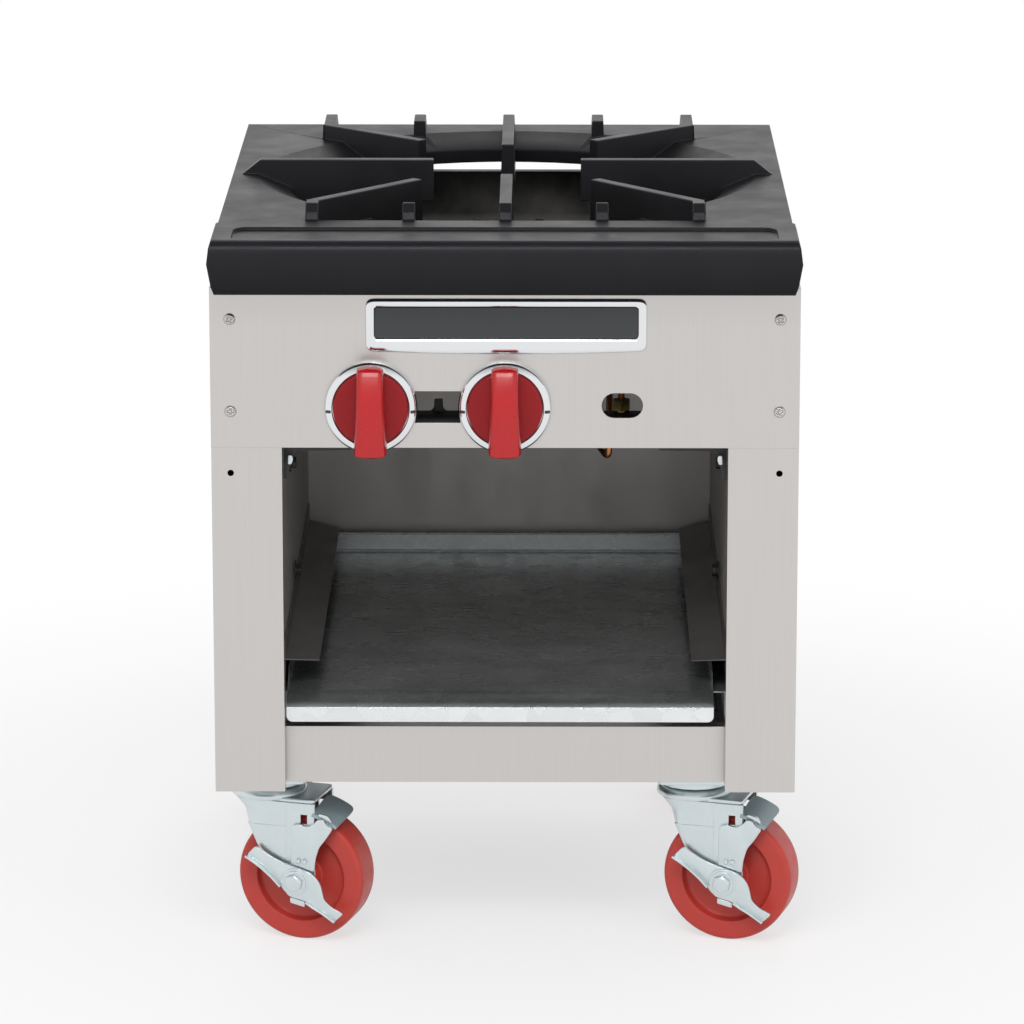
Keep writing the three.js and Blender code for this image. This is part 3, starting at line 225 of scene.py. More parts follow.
def tube(path, radius, sides=14):
    """Round tube: a circle of the radius stands on each point of the path, square to it, measured from
    one fixed direction that no part of the path follows. Ends are closed with a flat face."""
    p = np.asarray(path, float)
    along = np.gradient(p, axis=0)
    along /= np.linalg.norm(along, axis=1, keepdims=True)
    side = np.cross(along, (0.37, 0.21, 0.9))
    side /= np.linalg.norm(side, axis=1, keepdims=True)
    up = np.cross(side, along)
    ring = circle(radius, sides)[None, :, :, None]
    points = p[:, None] + side[:, None] * ring[:, :, 0] + up[:, None] * ring[:, :, 1]
    return points.reshape(-1, 3), capped(len(p), sides)


def joined(*parts):
    """Several (points, faces) as one."""
    points, faces, base = [], [], 0
    for more, own in parts:
        points.append(more)
        faces.extend([[i + base for i in face] for face in own])
        base += len(more)
    return np.vstack(points), faces


def piece(name, parts, finish, body, stands_for=()):
    """Makes the mesh, merges its doubles, turns its faces outwards, and puts it on its body."""
    points, faces = parts
    mesh = bpy.data.meshes.new(name)
    mesh.from_pydata((points / 1000).tolist(), [], faces)
    work = bmesh.new()
    work.from_mesh(mesh)
    bmesh.ops.remove_doubles(work, verts=work.verts, dist=1e-6)
    bmesh.ops.recalc_face_normals(work, faces=work.faces)
    for edge in work.edges:
        edge.smooth = edge.calc_face_angle(0) < math.radians(38)
    for face in work.faces:
        face.smooth = True
    work.to_mesh(mesh)
    work.free()
    mesh.materials.append(finish)
    obj = bpy.data.objects.new(name, mesh)
    bpy.context.scene.collection.objects.link(obj)
    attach(obj, body)
    if stands_for:
        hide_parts(*stands_for)
    return obj


def dress(name, finish, edge, segments=2):
    """Puts a finish on a CAD node, and breaks its sharp edges: doubles are welded, coplanar faces joined,
    every edge over 32 degrees is bevelled, and flat faces keep their own normals."""
    obj = frame["nodes"][name]
    obj.data.materials.clear()
    obj.data.materials.append(finish)
    obj.data.shade_smooth()
    weld = obj.modifiers.new("Weld", "WELD")
    weld.merge_threshold = 1e-5
    flat = obj.modifiers.new("Join faces", "DECIMATE")
    flat.decimate_type = "DISSOLVE"
    flat.angle_limit = math.radians(0.3)
    bevel = obj.modifiers.new("Edges", "BEVEL")
    bevel.width = edge
    bevel.segments = segments
    bevel.limit_method = "ANGLE"
    bevel.angle_limit = math.radians(32)
    bevel.use_clamp_overlap = False
    bevel.miter_outer = "MITER_ARC"
    normals = obj.modifiers.new("Normals", "WEIGHTED_NORMAL")
    normals.weight = 100
    normals.keep_sharp = False


# ------------------------------------------------------------------ finishes
def node(tree, kind, inputs=(), **settings):
    """Adds a node with its settings; each input is a value or a socket to link from."""
    made = tree.nodes.new(kind)
    for key, value in settings.items():
        setattr(made, key, value)
    for socket, value in dict(inputs).items():
        if isinstance(value, bpy.types.NodeSocket):
            tree.links.new(value, made.inputs[socket])
        else:
            made.inputs[socket].default_value = value
    return made


def clouds(tree, size, detail=4.0, roughness=0.55):
    """Noise on Object coordinates with one period per size, (x, y, z) in metres."""
    place = node(tree, "ShaderNodeTexCoord").outputs["Object"]
    scaled = node(tree, "ShaderNodeMapping", {"Vector": place, "Scale": [1 / s for s in size]})
    look = {"Vector": scaled.outputs[0], "Scale": 1.0, "Detail": detail, "Roughness": roughness}
    return node(tree, "ShaderNodeTexNoise", look).outputs["Fac"]


def finish(name, base, metallic, roughness, pattern, tint, rough_span, bump, depth, **sockets):
    """Principled finish whose colour, roughness and bump vary with one pattern, made by pattern(tree)."""
    made = bpy.data.materials.new(name)
    made.use_nodes = True
    tree = made.node_tree
    shader = tree.nodes["Principled BSDF"]
    shader.inputs["Metallic"].default_value = metallic
    for key, value in sockets.items():
        shader.inputs[key.replace("_", " ")].default_value = value
    value = pattern(tree)
    dark = [c * (1 - tint) for c in base[:3]] + [1]
    light = [min(1, c * (1 + tint)) for c in base[:3]] + [1]
    mix = node(tree, "ShaderNodeMix", {0: value, 6: dark, 7: light}, data_type="RGBA")
    tree.links.new(mix.outputs[2], shader.inputs["Base Color"])
    low, high = roughness - rough_span, roughness + rough_span
    spread = node(
        tree, "ShaderNodeMapRange", {"Value": value, "From Min": 0.3, "From Max": 0.7, "To Min": low, "To Max": high}
    )
    tree.links.new(spread.outputs[0], shader.inputs["Roughness"])
    relief = node(tree, "ShaderNodeBump", {"Height": value, "Strength": bump, "Distance": depth})
    tree.links.new(relief.outputs[0], shader.inputs["Normal"])
    return made


def overlay(made, axis, start, end, shade):
    """Turns a finish to another colour along one axis, in metres, through a cloud that breaks the edge up."""
    tree = made.node_tree
    shader = tree.nodes["Principled BSDF"]
    clean = shader.inputs["Base Color"].links[0].from_socket
    place = node(tree, "ShaderNodeSeparateXYZ", {0: node(tree, "ShaderNodeTexCoord").outputs["Object"]})
    ramp = node(tree, "ShaderNodeMapRange", {"Value": place.outputs[axis], "From Min": start, "From Max": end})
    cloud = node(tree, "ShaderNodeMapRange", {"Value": clouds(tree, (0.06, 0.05, 0.06)), "To Min": 0.6, "To Max": 1.2})
    amount = node(
        tree, "ShaderNodeMath", {0: ramp.outputs[0], 1: cloud.outputs[0]}, operation="MULTIPLY", use_clamp=True
    )
    mix = node(tree, "ShaderNodeMix", {0: amount.outputs[0], 6: clean, 7: list(shade)}, data_type="RGBA")
    tree.links.new(mix.outputs[2], shader.inputs["Base Color"])


FINISHES = {}


def make_finishes():
    """One finish for each slot of the record, and those that only the scene's own pieces use."""
    c = bpy.context.scene.range_colours
    s = bpy.context.scene.range_sizes
    g = s.grain
    # Type 304 stainless with a No. 4 brushed finish: soft vertical streaks. The real grain is about
    # 0.1 mm wide; it is drawn wider, so that it shows.
    FINISHES["stainless_brushed"] = finish(
        "Brushed stainless steel", c.stainless, 1.0, 0.36,
        lambda t: clouds(t, (g, g, 0.09), 5.0), tint=0.05, rough_span=0.05, bump=0.05, depth=0.0001,
    )
    # Mill-finish steel inside: duller and cloudy, with hand marks; towards the top, under the cast top, painted shade
    # darkens it.
    FINISHES["interior_sheet"] = finish(
        "Mill finish steel", c.interior, 0.7, 0.46,
        lambda t: clouds(t, (0.05, 0.05, 0.11), 6.0, 0.6), tint=0.14, rough_span=0.08, bump=0.03, depth=0.0004,
    )
    # Painted shade: above this height, under the cast top, the sheet turns dark
    overlay(FINISHES["interior_sheet"], "Z", 0.478, 0.512, c.under_top_shade)
    # The same sheet on the drip ledges: darker with painted shade, a little glossier.
    FINISHES["ledge_sheet"] = finish(
        "Shaded mill finish steel", c.ledge, 0.7, 0.4, lambda t: clouds(t, (0.03, 0.06, 0.03), 5.0, 0.6),
        tint=0.16, rough_span=0.08, bump=0.03, depth=0.0004,
    )
    # Hot-dip galvanised sheet: flat crystals of slightly different grey; painted shade darkens it inside the cabinet,
    # and painted light makes it paler towards the tray's rear wall.
    FINISHES["galvanised_sheet"] = galvanised(c.galvanised, c.cabinet_shade_zinc, s.spangle)
    # Its folds: a pale line, a painted highlight along each bend.
    FINISHES["rubbed_fold"] = finish(
        "Zinc fold highlight", c.galvanised, 0.1, 0.3, lambda t: clouds(t, (0.02, 0.01, 0.01), 4.0),
        tint=0.2, rough_span=0.06, bump=0.02, depth=0.0001,
    )
    # Sand-cast grey iron, seasoned: fine grit, broad cloudy gloss, and a painted highlight on the rib tops.
    FINISHES["cast_iron"] = cast_iron(c.cast_iron, c.lit_rib_top, s.grit)
    # Nickel-chrome plate over polished zinc: near mirror, faint haze.
    FINISHES["chrome_trim"] = finish(
        "Chrome plate", c.chrome, 1.0, 0.13, lambda t: clouds(t, (0.02, 0.02, 0.02), 3.0),
        tint=0.02, rough_span=0.03, bump=0.01, depth=0.0001,
    )
    # Stoved enamel in the badge's pocket: even, satin.
    FINISHES["badge_enamel"] = finish(
        "Black enamel", c.badge, 0.0, 0.34, lambda t: clouds(t, (0.003, 0.003, 0.003), 3.0),
        tint=0.05, rough_span=0.05, bump=0.02, depth=0.0001, Coat_Weight=0.4, Coat_Roughness=0.2,
    )
    # Phenolic knob, compression moulded: the bar is buffed to a gloss, the disc behind it is left satin; the disc's
    # colour is darker, painted shade where it sits recessed behind the bar and the bezel.
    FINISHES["red_knob"] = finish(
        "Buffed phenolic", c.knob, 0.0, 0.3, lambda t: clouds(t, (0.012, 0.012, 0.03), 3.0),
        tint=0.05, rough_span=0.06, bump=0.02, depth=0.0002, Specular_IOR_Level=0.4, Coat_Weight=0.3,
    )
    # Painted shade in the disc's colour
    FINISHES["knob_disc"] = finish(
        "Shaded moulded phenolic", c.knob_disc, 0.0, 0.42, lambda t: clouds(t, (0.012, 0.03, 0.012), 3.0),
        tint=0.06, rough_span=0.06, bump=0.02, depth=0.0002, Specular_IOR_Level=0.3,
    )
    # Bright zinc electroplate with a blue passivate: soft gloss, cold tint, slight clouding.
    FINISHES["zinc_plate"] = finish(
        "Blue zinc plate", c.zinc, 1.0, 0.36, lambda t: clouds(t, (0.008, 0.008, 0.008), 4.0, 0.6),
        tint=0.08, rough_span=0.08, bump=0.05, depth=0.0002,
    )
    FINISHES["brake_plate"] = finish(
        "Dull zinc plate", c.brake, 0.45, 0.46, lambda t: clouds(t, (0.006, 0.006, 0.006), 4.0, 0.6),
        tint=0.12, rough_span=0.08, bump=0.08, depth=0.0002,
    )
    # Forged brass, machined faces, lightly tarnished.
    FINISHES["brass"] = finish(
        "Machined brass", c.brass, 1.0, 0.32, lambda t: clouds(t, (0.004, 0.004, 0.004), 4.0),
        tint=0.14, rough_span=0.08, bump=0.06, depth=0.0002,
    )
    # Drawn copper tube, handled.
    FINISHES["copper_tube"] = finish(
        "Drawn copper", c.copper, 1.0, 0.34, lambda t: clouds(t, (0.006, 0.006, 0.006), 4.0),
        tint=0.16, rough_span=0.1, bump=0.04, depth=0.0002,
    )
    # Black pipe: mill scale and lacquer.
    FINISHES["black_pipe"] = finish(
        "Lacquered black pipe", c.pipe, 0.0, 0.5, lambda t: clouds(t, (0.004, 0.004, 0.004), 5.0, 0.65),
        tint=0.2, rough_span=0.1, bump=0.15, depth=0.0003,
    )
    # Cast polyurethane wheel: satin, a little light enters it.
    FINISHES["red_wheel"] = finish(
        "Moulded polyurethane", c.wheel, 0.0, 0.42, lambda t: clouds(t, (0.01, 0.01, 0.01), 4.0, 0.6),
        tint=0.06, rough_span=0.07, bump=0.04, depth=0.0003, Subsurface_Weight=0.08, Subsurface_Scale=0.002,
    )


def galvanised(base, cabinet_shade_zinc, spangle):
    """Crystal cells (Voronoi) give each its own grey, over a fine cloud. Behind the tray's front lip, inside the
    cabinet, the sheet is duller and darker with painted shade; towards the tray's rear wall painted light makes it
    paler again."""

    def pattern(tree):
        place = node(tree, "ShaderNodeTexCoord").outputs["Object"]
        cells = node(
            tree, "ShaderNodeTexVoronoi", {"Vector": place, "Scale": 1 / spangle, "Randomness": 1.0}, feature="F1"
        ).outputs["Color"]
        grey = node(tree, "ShaderNodeRGBToBW", {"Color": cells}).outputs[0]
        cloud = clouds(tree, (0.03, 0.008, 0.03), 5.0, 0.6)
        return node(tree, "ShaderNodeMath", {0: grey, 1: cloud}, operation="MULTIPLY").outputs[0]

    made = finish("Galvanised steel", base, 0.75, 0.34, pattern, tint=0.1, rough_span=0.07, bump=0.01, depth=0.0001)
    # Painted shade behind the tray's front lip, inside the cabinet
    overlay(made, "Y", -0.229, -0.223, cabinet_shade_zinc)
    rear_light_zinc = [x * 2 for x in cabinet_shade_zinc[:3]] + [1]
    # Painted light: twice as light towards the tray's rear wall
    overlay(made, "Y", 0.16, 0.235, rear_light_zinc)
    return made


def cast_iron(base, lit_top, grit):
    """Grit bump everywhere; the colour turns lighter on the pot-bearing tops of the ribs, a painted highlight where
    they face the light from above, and the gloss dies away down the nose and the skirts, where no cloth wipes."""
    made = bpy.data.materials.new("Seasoned cast iron")
    made.use_nodes = True
    tree = made.node_tree
    shader = tree.nodes["Principled BSDF"]
    shader.inputs["Metallic"].default_value = 0.0
    shader.inputs["Specular Tint"].default_value = srgb("#F0EDFF")
    cloud = clouds(tree, (0.04, 0.04, 0.04), 5.0, 0.6)
    fine = clouds(tree, (grit, grit, grit), 3.0, 0.6)
    place = node(tree, "ShaderNodeSeparateXYZ", {0: node(tree, "ShaderNodeTexCoord").outputs["Object"]})
    height = node(
        tree, "ShaderNodeMapRange", {"Value": place.outputs["Z"], "From Min": 0.5996, "From Max": 0.6004, "To Max": 0.6}
    )
    gloss = node(
        tree, "ShaderNodeMapRange",
        {"Value": place.outputs["Z"], "From Min": 0.546, "From Max": 0.582, "To Min": 0.09, "To Max": 0.27},
    )
    tree.links.new(gloss.outputs[0], shader.inputs["Specular IOR Level"])
    dark, light = [x * 0.8 for x in base[:3]] + [1], [x * 1.25 for x in base[:3]] + [1]
    shade = node(tree, "ShaderNodeMix", {0: cloud, 6: dark, 7: light}, data_type="RGBA")
    # Painted highlight: the rib tops take the lighter colour
    top_light = node(tree, "ShaderNodeMix", {0: height.outputs[0], 6: shade.outputs[2], 7: list(lit_top)}, data_type="RGBA")
    tree.links.new(top_light.outputs[2], shader.inputs["Base Color"])
    rough = node(
        tree, "ShaderNodeMapRange", {"Value": cloud, "From Min": 0.3, "From Max": 0.7, "To Min": 0.33, "To Max": 0.45}
    )
    tree.links.new(rough.outputs[0], shader.inputs["Roughness"])
    relief = node(tree, "ShaderNodeBump", {"Height": fine, "Strength": 0.22, "Distance": 0.0003})
    tree.links.new(relief.outputs[0], shader.inputs["Normal"])
    return made


# ------------------------------------------------------------------ pieces
def dress_slot(slot, edge, skip=()):
    """Dresses every CAD node whose slot in the record this is, apart from those to skip."""
    for part in frame["record"]["subparts"]:
        if part["material_slot"] == slot and part["node"] not in skip:
            dress(part["node"], FINISHES[slot], edge)


def hexagon(flats, turn, corner=0.9):
    """Hexagon of a width across flats, its corners rounded as on a forged bolt head."""
    return rounded(circle(flats / math.sqrt(3), 6, turn), corner, 3)


def pan_head(diameter, turn, **place):
    """Pan head with a cross recess: a dome h = H (1 - (r / R)^4), less a smooth cross-shaped well whose
    depth fades at the slot's walls and towards its ends."""
    radius, high, rings, segments = diameter / 2, diameter * 0.27, 26, 72
    r = np.linspace(0, 1, rings)[:, None] * radius
    t = np.arange(segments)[None, :] * 2 * np.pi / segments
    x, y = r * np.cos(t), r * np.sin(t)
    a = x * math.cos(turn) + y * math.sin(turn)
    b = y * math.cos(turn) - x * math.sin(turn)

    def within(distance, edge):
        return 1 / (1 + np.exp((distance - edge) / (0.02 * diameter)))

    slot, reach = 0.085 * diameter, 0.29 * diameter
    well = np.maximum(within(np.abs(a), slot), within(np.abs(b), slot)) * within(r, reach)
    z = high * (1 - (r / radius) ** 4) - 0.2 * diameter * well
    top = np.stack([x, y, z], -1).reshape(-1, 3)
    foot = np.column_stack([circle(radius, segments), np.full(segments, -0.4)])
    faces = quads(rings + 1, segments).tolist() + [list(range(rings * segments, (rings + 1) * segments))]
    return placed(np.vstack([top, foot]), **place), faces


class RANGE_OT_casework(bpy.types.Operator):
    """Sheet metal, screws, liner bolts and corner brackets of the cabinet"""

    bl_idname = "stock_range.casework"
    bl_label = "Casework"

    def execute(self, context):
        sizes = context.scene.range_sizes
        ledges = [f"drip_ledge_{side}" for side, _ in SIDES]
        for slot in ("stainless_brushed", "interior_sheet", "galvanised_sheet"):
            dress_slot(slot, sizes.sheet_edge, ledges)
        # The drip ledges take the darker copy of the interior sheet, painted shade
        for name in ledges:
            dress(name, FINISHES["ledge_sheet"], sizes.sheet_edge)
        screws = [
            pan_head(sizes.screw_head * 1000, 0.5 + i, origin=(x, PANEL_Y, z), **FRONT)
            for i, (x, z) in enumerate([(-213, 521), (-213, 448), (213, 521), (213, 448)])
        ]
        piece("panel_screws", joined(*screws), FINISHES["stainless_brushed"], "cabinet")
        bolts = []
        for side, sign in SIDES:
            for y, z in ((-39.5, 270), (-114.5, 378)):
                place = dict(origin=(sign * LINER_X, y, z), u=(0, sign, 0), v=(0, 0, 1), w=(-sign, 0, 0))
                bolts.append(plate(hexagon(sizes.bolt_head * 1000, 0.3, 0.8), 5.5, 0.8, **place))
                ring = rounded([(0, 0), (8, 0), (8, 1.2), (0, 1.2)], 0.3, 3)
                bolts.append(turned(ring, 28, **place))
        piece("liner_bolts", joined(*bolts), FINISHES["black_pipe"], "cabinet")
        brackets, clips = [], []
        for side, sign in SIDES:
            # Black bracket, with a long arm along the opening's top edge: a dark strip of painted shade there
            bracket_and_shade_strip = [(0, 0), (0, -30), (2.5, -30), (7, -11), (11, -7.4), (53, -6.6), (53, 0)]
            inwards = dict(u=(-sign, 0, 0), v=(0, 0, 1), w=(0, 1, 0))
            brackets.append(
                plate(rounded(bracket_and_shade_strip, 1.0, 3), 1.2, 0.3, origin=(sign * OPENING[0], -217, OPENING[1]), **inwards)
            )
            clip = rounded([(3, -17), (6, -17), (7.4, -13), (6.6, -9.5), (3.4, -9.5)], 1.2, 4)
            clips.append(plate(clip, 5, 0.5, origin=(sign * OPENING[0], -222.5, OPENING[1]), **inwards))
        piece("corner_brackets_and_shade_strips", joined(*brackets), FINISHES["black_pipe"], "cabinet")
        piece("corner_clips", joined(*clips), FINISHES["zinc_plate"], "cabinet")
        low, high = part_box("drip_tray")
        x0, x1 = low[0] * 1000 + 1.6, high[0] * 1000 - 1.6
        back, top = high[1] * 1000 - 1.9, high[2] * 1000 - 1.0
        hem, fold = (top, 0.9), (top - 15.4, 1.1)  # height and radius of each line on the tray's rear wall
        # Pale tubes on the hem and the fold of the rear wall: painted highlights on the bends
        folds = [tube([(x, back, z) for x in np.linspace(x0, x1, 3)], r, 10) for z, r in (hem, fold)]
        piece("tray_fold_highlights", joined(*folds), FINISHES["rubbed_fold"], "tray")
        return {"FINISHED"}


class RANGE_OT_cast_top(bpy.types.Operator):
    """The cast-iron top with its ribs"""

    bl_idname = "stock_range.cast_top"
    bl_label = "Cast top"

    def execute(self, context):
        dress("top_grate", FINISHES["cast_iron"], context.scene.range_sizes.cast_edge, 3)
        return {"FINISHED"}


def knob_bar(**place):
    """Handle bar: at height b the section is a rounded box. Half its width grows from 10.7 at the top to 13.4
    at the foot and closes at both ends along a quarter ellipse; its front is a shallow arc that leans back
    over the top."""
    half, rows, around = 35.3, 72, 44
    b = -half * np.cos(np.linspace(0, np.pi, rows))
    end = np.clip((np.abs(b) - (half - 3.2)) / 3.2, 0, 1)
    close = np.sqrt(np.clip(1 - end**2.4, 0, 1))
    wide = (12.0 - 1.35 * b / half) * (1 - 0.16 * (1 - close)) * np.maximum(close, 0.0)
    front = 34.0 - 2.6 * (b / half) ** 2 - 5.0 * (1 - close) - 5.5 * np.clip((b - 6) / 29, 0, 1) ** 2
    back = 9.0 + 3.6 / (1 + np.exp(-(np.abs(b) - 28.6) / 0.35)) + 3.0 * (1 - close)
    t = np.arange(around) * 2 * np.pi / around
    power = 0.34
    c, s = np.cos(t), np.sin(t)
    a = np.sign(c) * np.abs(c) ** power
    d = np.sign(s) * np.abs(s) ** power
    draft = 1 - 0.05 * (d + 1)
    x = wide[:, None] * a * draft
    z = (front + back)[:, None] / 2 + (front - back)[:, None] / 2 * d
    y = np.repeat(b[:, None], around, 1)
    return placed(np.stack([x, y, z], -1).reshape(-1, 3), **place), quads(rows, around).tolist()


class RANGE_OT_controls(bpy.types.Operator):
    """Knobs, bezels with their index marks, and the badge plate"""

    bl_idname = "stock_range.controls"
    bl_label = "Controls"

    def execute(self, context):
        for (side, _), x in zip(SIDES, KNOB_X):
            place = dict(origin=(x, PANEL_Y, KNOB_Z), **FRONT)
            ring = rounded(
                [(10.2, 0), (36.2, 0), (36.2, 4.6), (34.8, 6.6), (30.6, 9.0), (29.7, 8.4), (30.3, 2.2), (10.2, 2.2)],
                [0.2, 0.3, 0.9, 1.3, 0.5, 0.4, 0.3, 0.2],
            )
            piece(f"bezel_ring_{side}", turned(ring, 144, **place), FINISHES["chrome_trim"], "cabinet",
                  [f"bezel_{side}"])
            mark = rounded([(-2.2, -1.1), (2.2, -1.1), (2.2, 1.1), (-2.2, 1.1)], 0.5, 3)
            marks = []
            for sign in (-1, 1):
                lean = dict(u=(0.86, sign * 0.5, 0), v=(0, 0, 1), w=(sign * 0.5, -0.86, 0))
                origin = (x + sign * 32.9, PANEL_Y - 7.9, KNOB_Z - 2.6)
                marks.append(plate(mark, 0.5, 0.15, origin=origin, **lean))
            piece(f"bezel_marks_{side}", joined(*marks), FINISHES["badge_enamel"], "cabinet")
            disc = rounded(
                [(0, 2.7), (29.0, 2.7), (29.2, 9.4), (27.9, 10.6), (0, 11.2)], [0, 0.4, 0.9, 1.2, 0]
            )
            piece(f"knob_disc_{side}", turned(disc, 120, **place), FINISHES["knob_disc"], f"knob_{side}")
            piece(f"knob_handle_{side}", knob_bar(**place), FINISHES["red_knob"], f"knob_{side}",
                  [f"knob_{side}"])
        badge_plate()
        dress("badge_inset", FINISHES["badge_enamel"], 0.0001)
        dress_slot("brass", 0.0004)
        return {"FINISHED"}


def badge_plate():
    """Chromed frame: loops run from the pocket's wall over a rounded bead to the outer edge; the outer
    loop's foot is bowed downwards, z = z0 - bow (1 - (x / half)^2)."""
    inner = dense(rounded([(-101, -12.4), (103, -12.4), (103, 12.6), (-101, 12.6)], 3, 6), 6)
    outer = dense(rounded([(-108, -21), (110, -21), (110, 20.5), (-108, 20.5)], 7, 6), 6)
    foot = np.clip(-(outer[:, 1] + 12) / 9, 0, 1)
    outer[:, 1] -= foot * 2.4 * (1 - ((outer[:, 0] - 1) / 109) ** 2)
    inner[:, 1] += 1.5
    share = np.array([0, 0, 0.08, 0.2, 0.35, 0.5, 0.65, 0.8, 0.92, 0.99, 1.0, 0.0])
    high = np.array([0.2, 1.7, 2.4, 2.85, 3.12, 3.2, 3.1, 2.75, 2.1, 1.1, 0.0, 0.0])
    grid = inner[None] * (1 - share[:, None, None]) + outer[None] * share[:, None, None]
    points = np.concatenate([grid, np.repeat(high[:, None, None], len(inner), 1)], -1).reshape(-1, 3)
    faces = quads(len(share), len(inner), wrap_rows=True).tolist()
    parts = placed(points, origin=(0, PANEL_Y, BADGE_Z), **FRONT), faces
    piece("badge_surround", parts, FINISHES["chrome_trim"], "cabinet", ["badge_frame"])
    base = rounded([(-107, -20), (109, -20), (109, 19.5), (-107, 19.5)], 6, 4)
    back = plate(base, 0.3, 0.1, origin=(0, PANEL_Y, BADGE_Z), **FRONT)
    piece("badge_back", back, FINISHES["badge_enamel"], "cabinet")


class RANGE_OT_burner(bpy.types.Operator):
    """Burner rings, venturis and gas pipes"""

    bl_idname = "stock_range.burner"
    bl_label = "Burner"

    def execute(self, context):
        for name in ("burner_outer", "burner_inner", "venturi_left", "venturi_right"):
            dress(name, FINISHES["cast_iron"], 0.001)
        dress_slot("black_pipe", 0.0005)
        run = [
            (91, -185.5, 446.4), (91, -185.5, 462.3), (82, -159.5, 462.3), (82, -159.5, 391.5), (52, -78.5, 413),
            (52, -78.5, 475.5),
        ]
        line = rounded(run, [0, 9, 9, 11, 11, 0], 12, closed=False)
        piece("pilot_supply", tube(line, 2.6, 20), FINISHES["copper_tube"], "cabinet", ["pilot_tube"])
        half = [(20, -8), (14, -1), (6, 0.4), (3.5, 3.0), (3.3, 10.2)]
        radii = [0.5, 4, 4, 3, 0.8]
        lug = rounded([(-20, -8)] + half + [(-a, b) for a, b in half[:0:-1]], [0.5] + radii + radii[:0:-1])
        place = dict(FRONT, origin=(-52.5, MANIFOLD[0] + 1.5, MANIFOLD[1] + 10))
        piece("manifold_lug", plate(lug, 3, 0.5, **place), FINISHES["black_pipe"], "cabinet")
        for name in ("air_shutter_left", "air_shutter_right", "pilot_burner", "valve_stem_left", "valve_stem_right"):
            dress(name, FINISHES["zinc_plate"], 0.0003)
        return {"FINISHED"}


def caster_frame(corner):
    """Place of a caster's local frame: a along the lead, b up, c out of the braked face, from the wheel's
    middle. The swivel axis is at a = -RACE_LEAD."""
    low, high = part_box(f"caster_wheel_{corner}")
    turn = math.radians(-16 if corner.startswith("front") else 90)
    mid = [(a + b) * 500 for a, b in zip(low, high)]
    along = (math.cos(turn), math.sin(turn), 0)
    out = (math.sin(turn), -math.cos(turn), 0)
    return dict(origin=(mid[0], mid[1], AXLE_Z), u=along, v=(0, 0, 1), w=out)


def lofted(loops, heights):
    """Closed loops (a, c), one for each height b, joined in order and closed at both ends."""
    points = [np.column_stack([loop[:, 0], np.full(len(loop), b), loop[:, 1]]) for loop, b in zip(loops, heights)]
    return np.vstack(points), capped(len(loops), len(loops[0]))


def pressed_sheet(corners, radius, thick):
    """Loop of a bent sheet: its outer face runs along the corners (a, c), rounded by the radius, and its inner
    face is the same line moved towards the wheel by the thickness."""
    outer = np.asarray(corners, float)
    inner = outer.copy()
    inner[:, 1] -= thick * np.sign(inner[:, 1]) * (np.abs(inner[:, 1]) > LEG_FACE - 1)
    inner[1:-1, 0] += thick
    if len(outer) == 3:
        inner[-1, 0] += thick
    radii = [0, *[radius] * (len(outer) - 2), 0]
    far = rounded(outer, radii, 9, closed=False)
    near = rounded(inner, [max(r - thick * 0.8, 0) for r in radii], 9, closed=False)
    return np.vstack([far, near[::-1]])


def pierced(outline, hole, c0, c1):
    """Plate between two faces c0 and c1 with a hole: loops run round the outline, over it and back through the
    hole."""
    rim, gap = dense(outline, 6), dense(hole, 6)
    near, far = c0 + 0.1, c1 - 0.1
    brow = inset(rim, 0.4)
    rings = [(rim, c0 + 0.4), (brow, near), (gap, near), (gap, far), (brow, c1), (rim, c1 - 0.4)]
    points = [np.column_stack([ring, np.full(len(ring), c)]) for ring, c in rings]
    return np.vstack(points), quads(len(rings), len(rim), wrap_rows=True).tolist()


def fork_shell(place):
    """Pressed fork. Its back edge follows FORK_BACK, a as a function of the height b. Above the wheel the
    sheet runs round the back as a U whose corners open from 6 to 19 mm; below, each leg turns in a little."""
    parts, face = [], LEG_FACE

    def back(b):
        return float(np.interp(b, *FORK_BACK.T))

    def bent(b, sign, end, radius):
        return pressed_sheet([(-9, sign * face), (back(b), sign * face), *end], radius, 3)

    high = np.linspace(44, 64, 12)
    loops = [bent(b, 1, [(back(b), -face), (-9, -face)], 6 + 0.65 * (b - 44)) for b in high]
    parts.append(lofted(loops, high))
    low = np.linspace(0, 44.2, 20)
    for sign in (1, -1):
        parts.append(lofted([bent(b, sign, [(back(b), sign * 18.4)], 6.0) for b in low], low))
        c0, c1 = sorted((sign * (face - 3), sign * face))
        flange = [(-9.3, 0), (15, 0), (15, 64), (-9.3, 64)]
        parts.append(pierced(flange, [(3.2, 47), (8.8, 47), (8.8, 54.7), (3.2, 54.7)], c0, c1))
        parts.append(plate(circle(15.2, 60), 3.02, 0.5, origin=(0, 0, c0 - 0.01)))
    roof = [(15, face), (back(64.5), face), (back(64.5), -face), (15, -face)]
    outline = rounded(roof, [4, 20, 20, 4], 9)
    parts.append(plate(outline, 3.4, 1.2, origin=(0, 64, 0), **UPRIGHT))
    race = rounded([(6.4, 65), (30, 65), (31, 68), (28.5, 72.5), (22, 74.3), (6.4, 74.3)], [0.3, 1, 2, 3, 2, 0.3])
    parts.append(turned(race, 72, origin=(-RACE_LEAD, 0, 0), **UPRIGHT))
    points, faces = joined(*parts)
    return placed(points, **place), faces


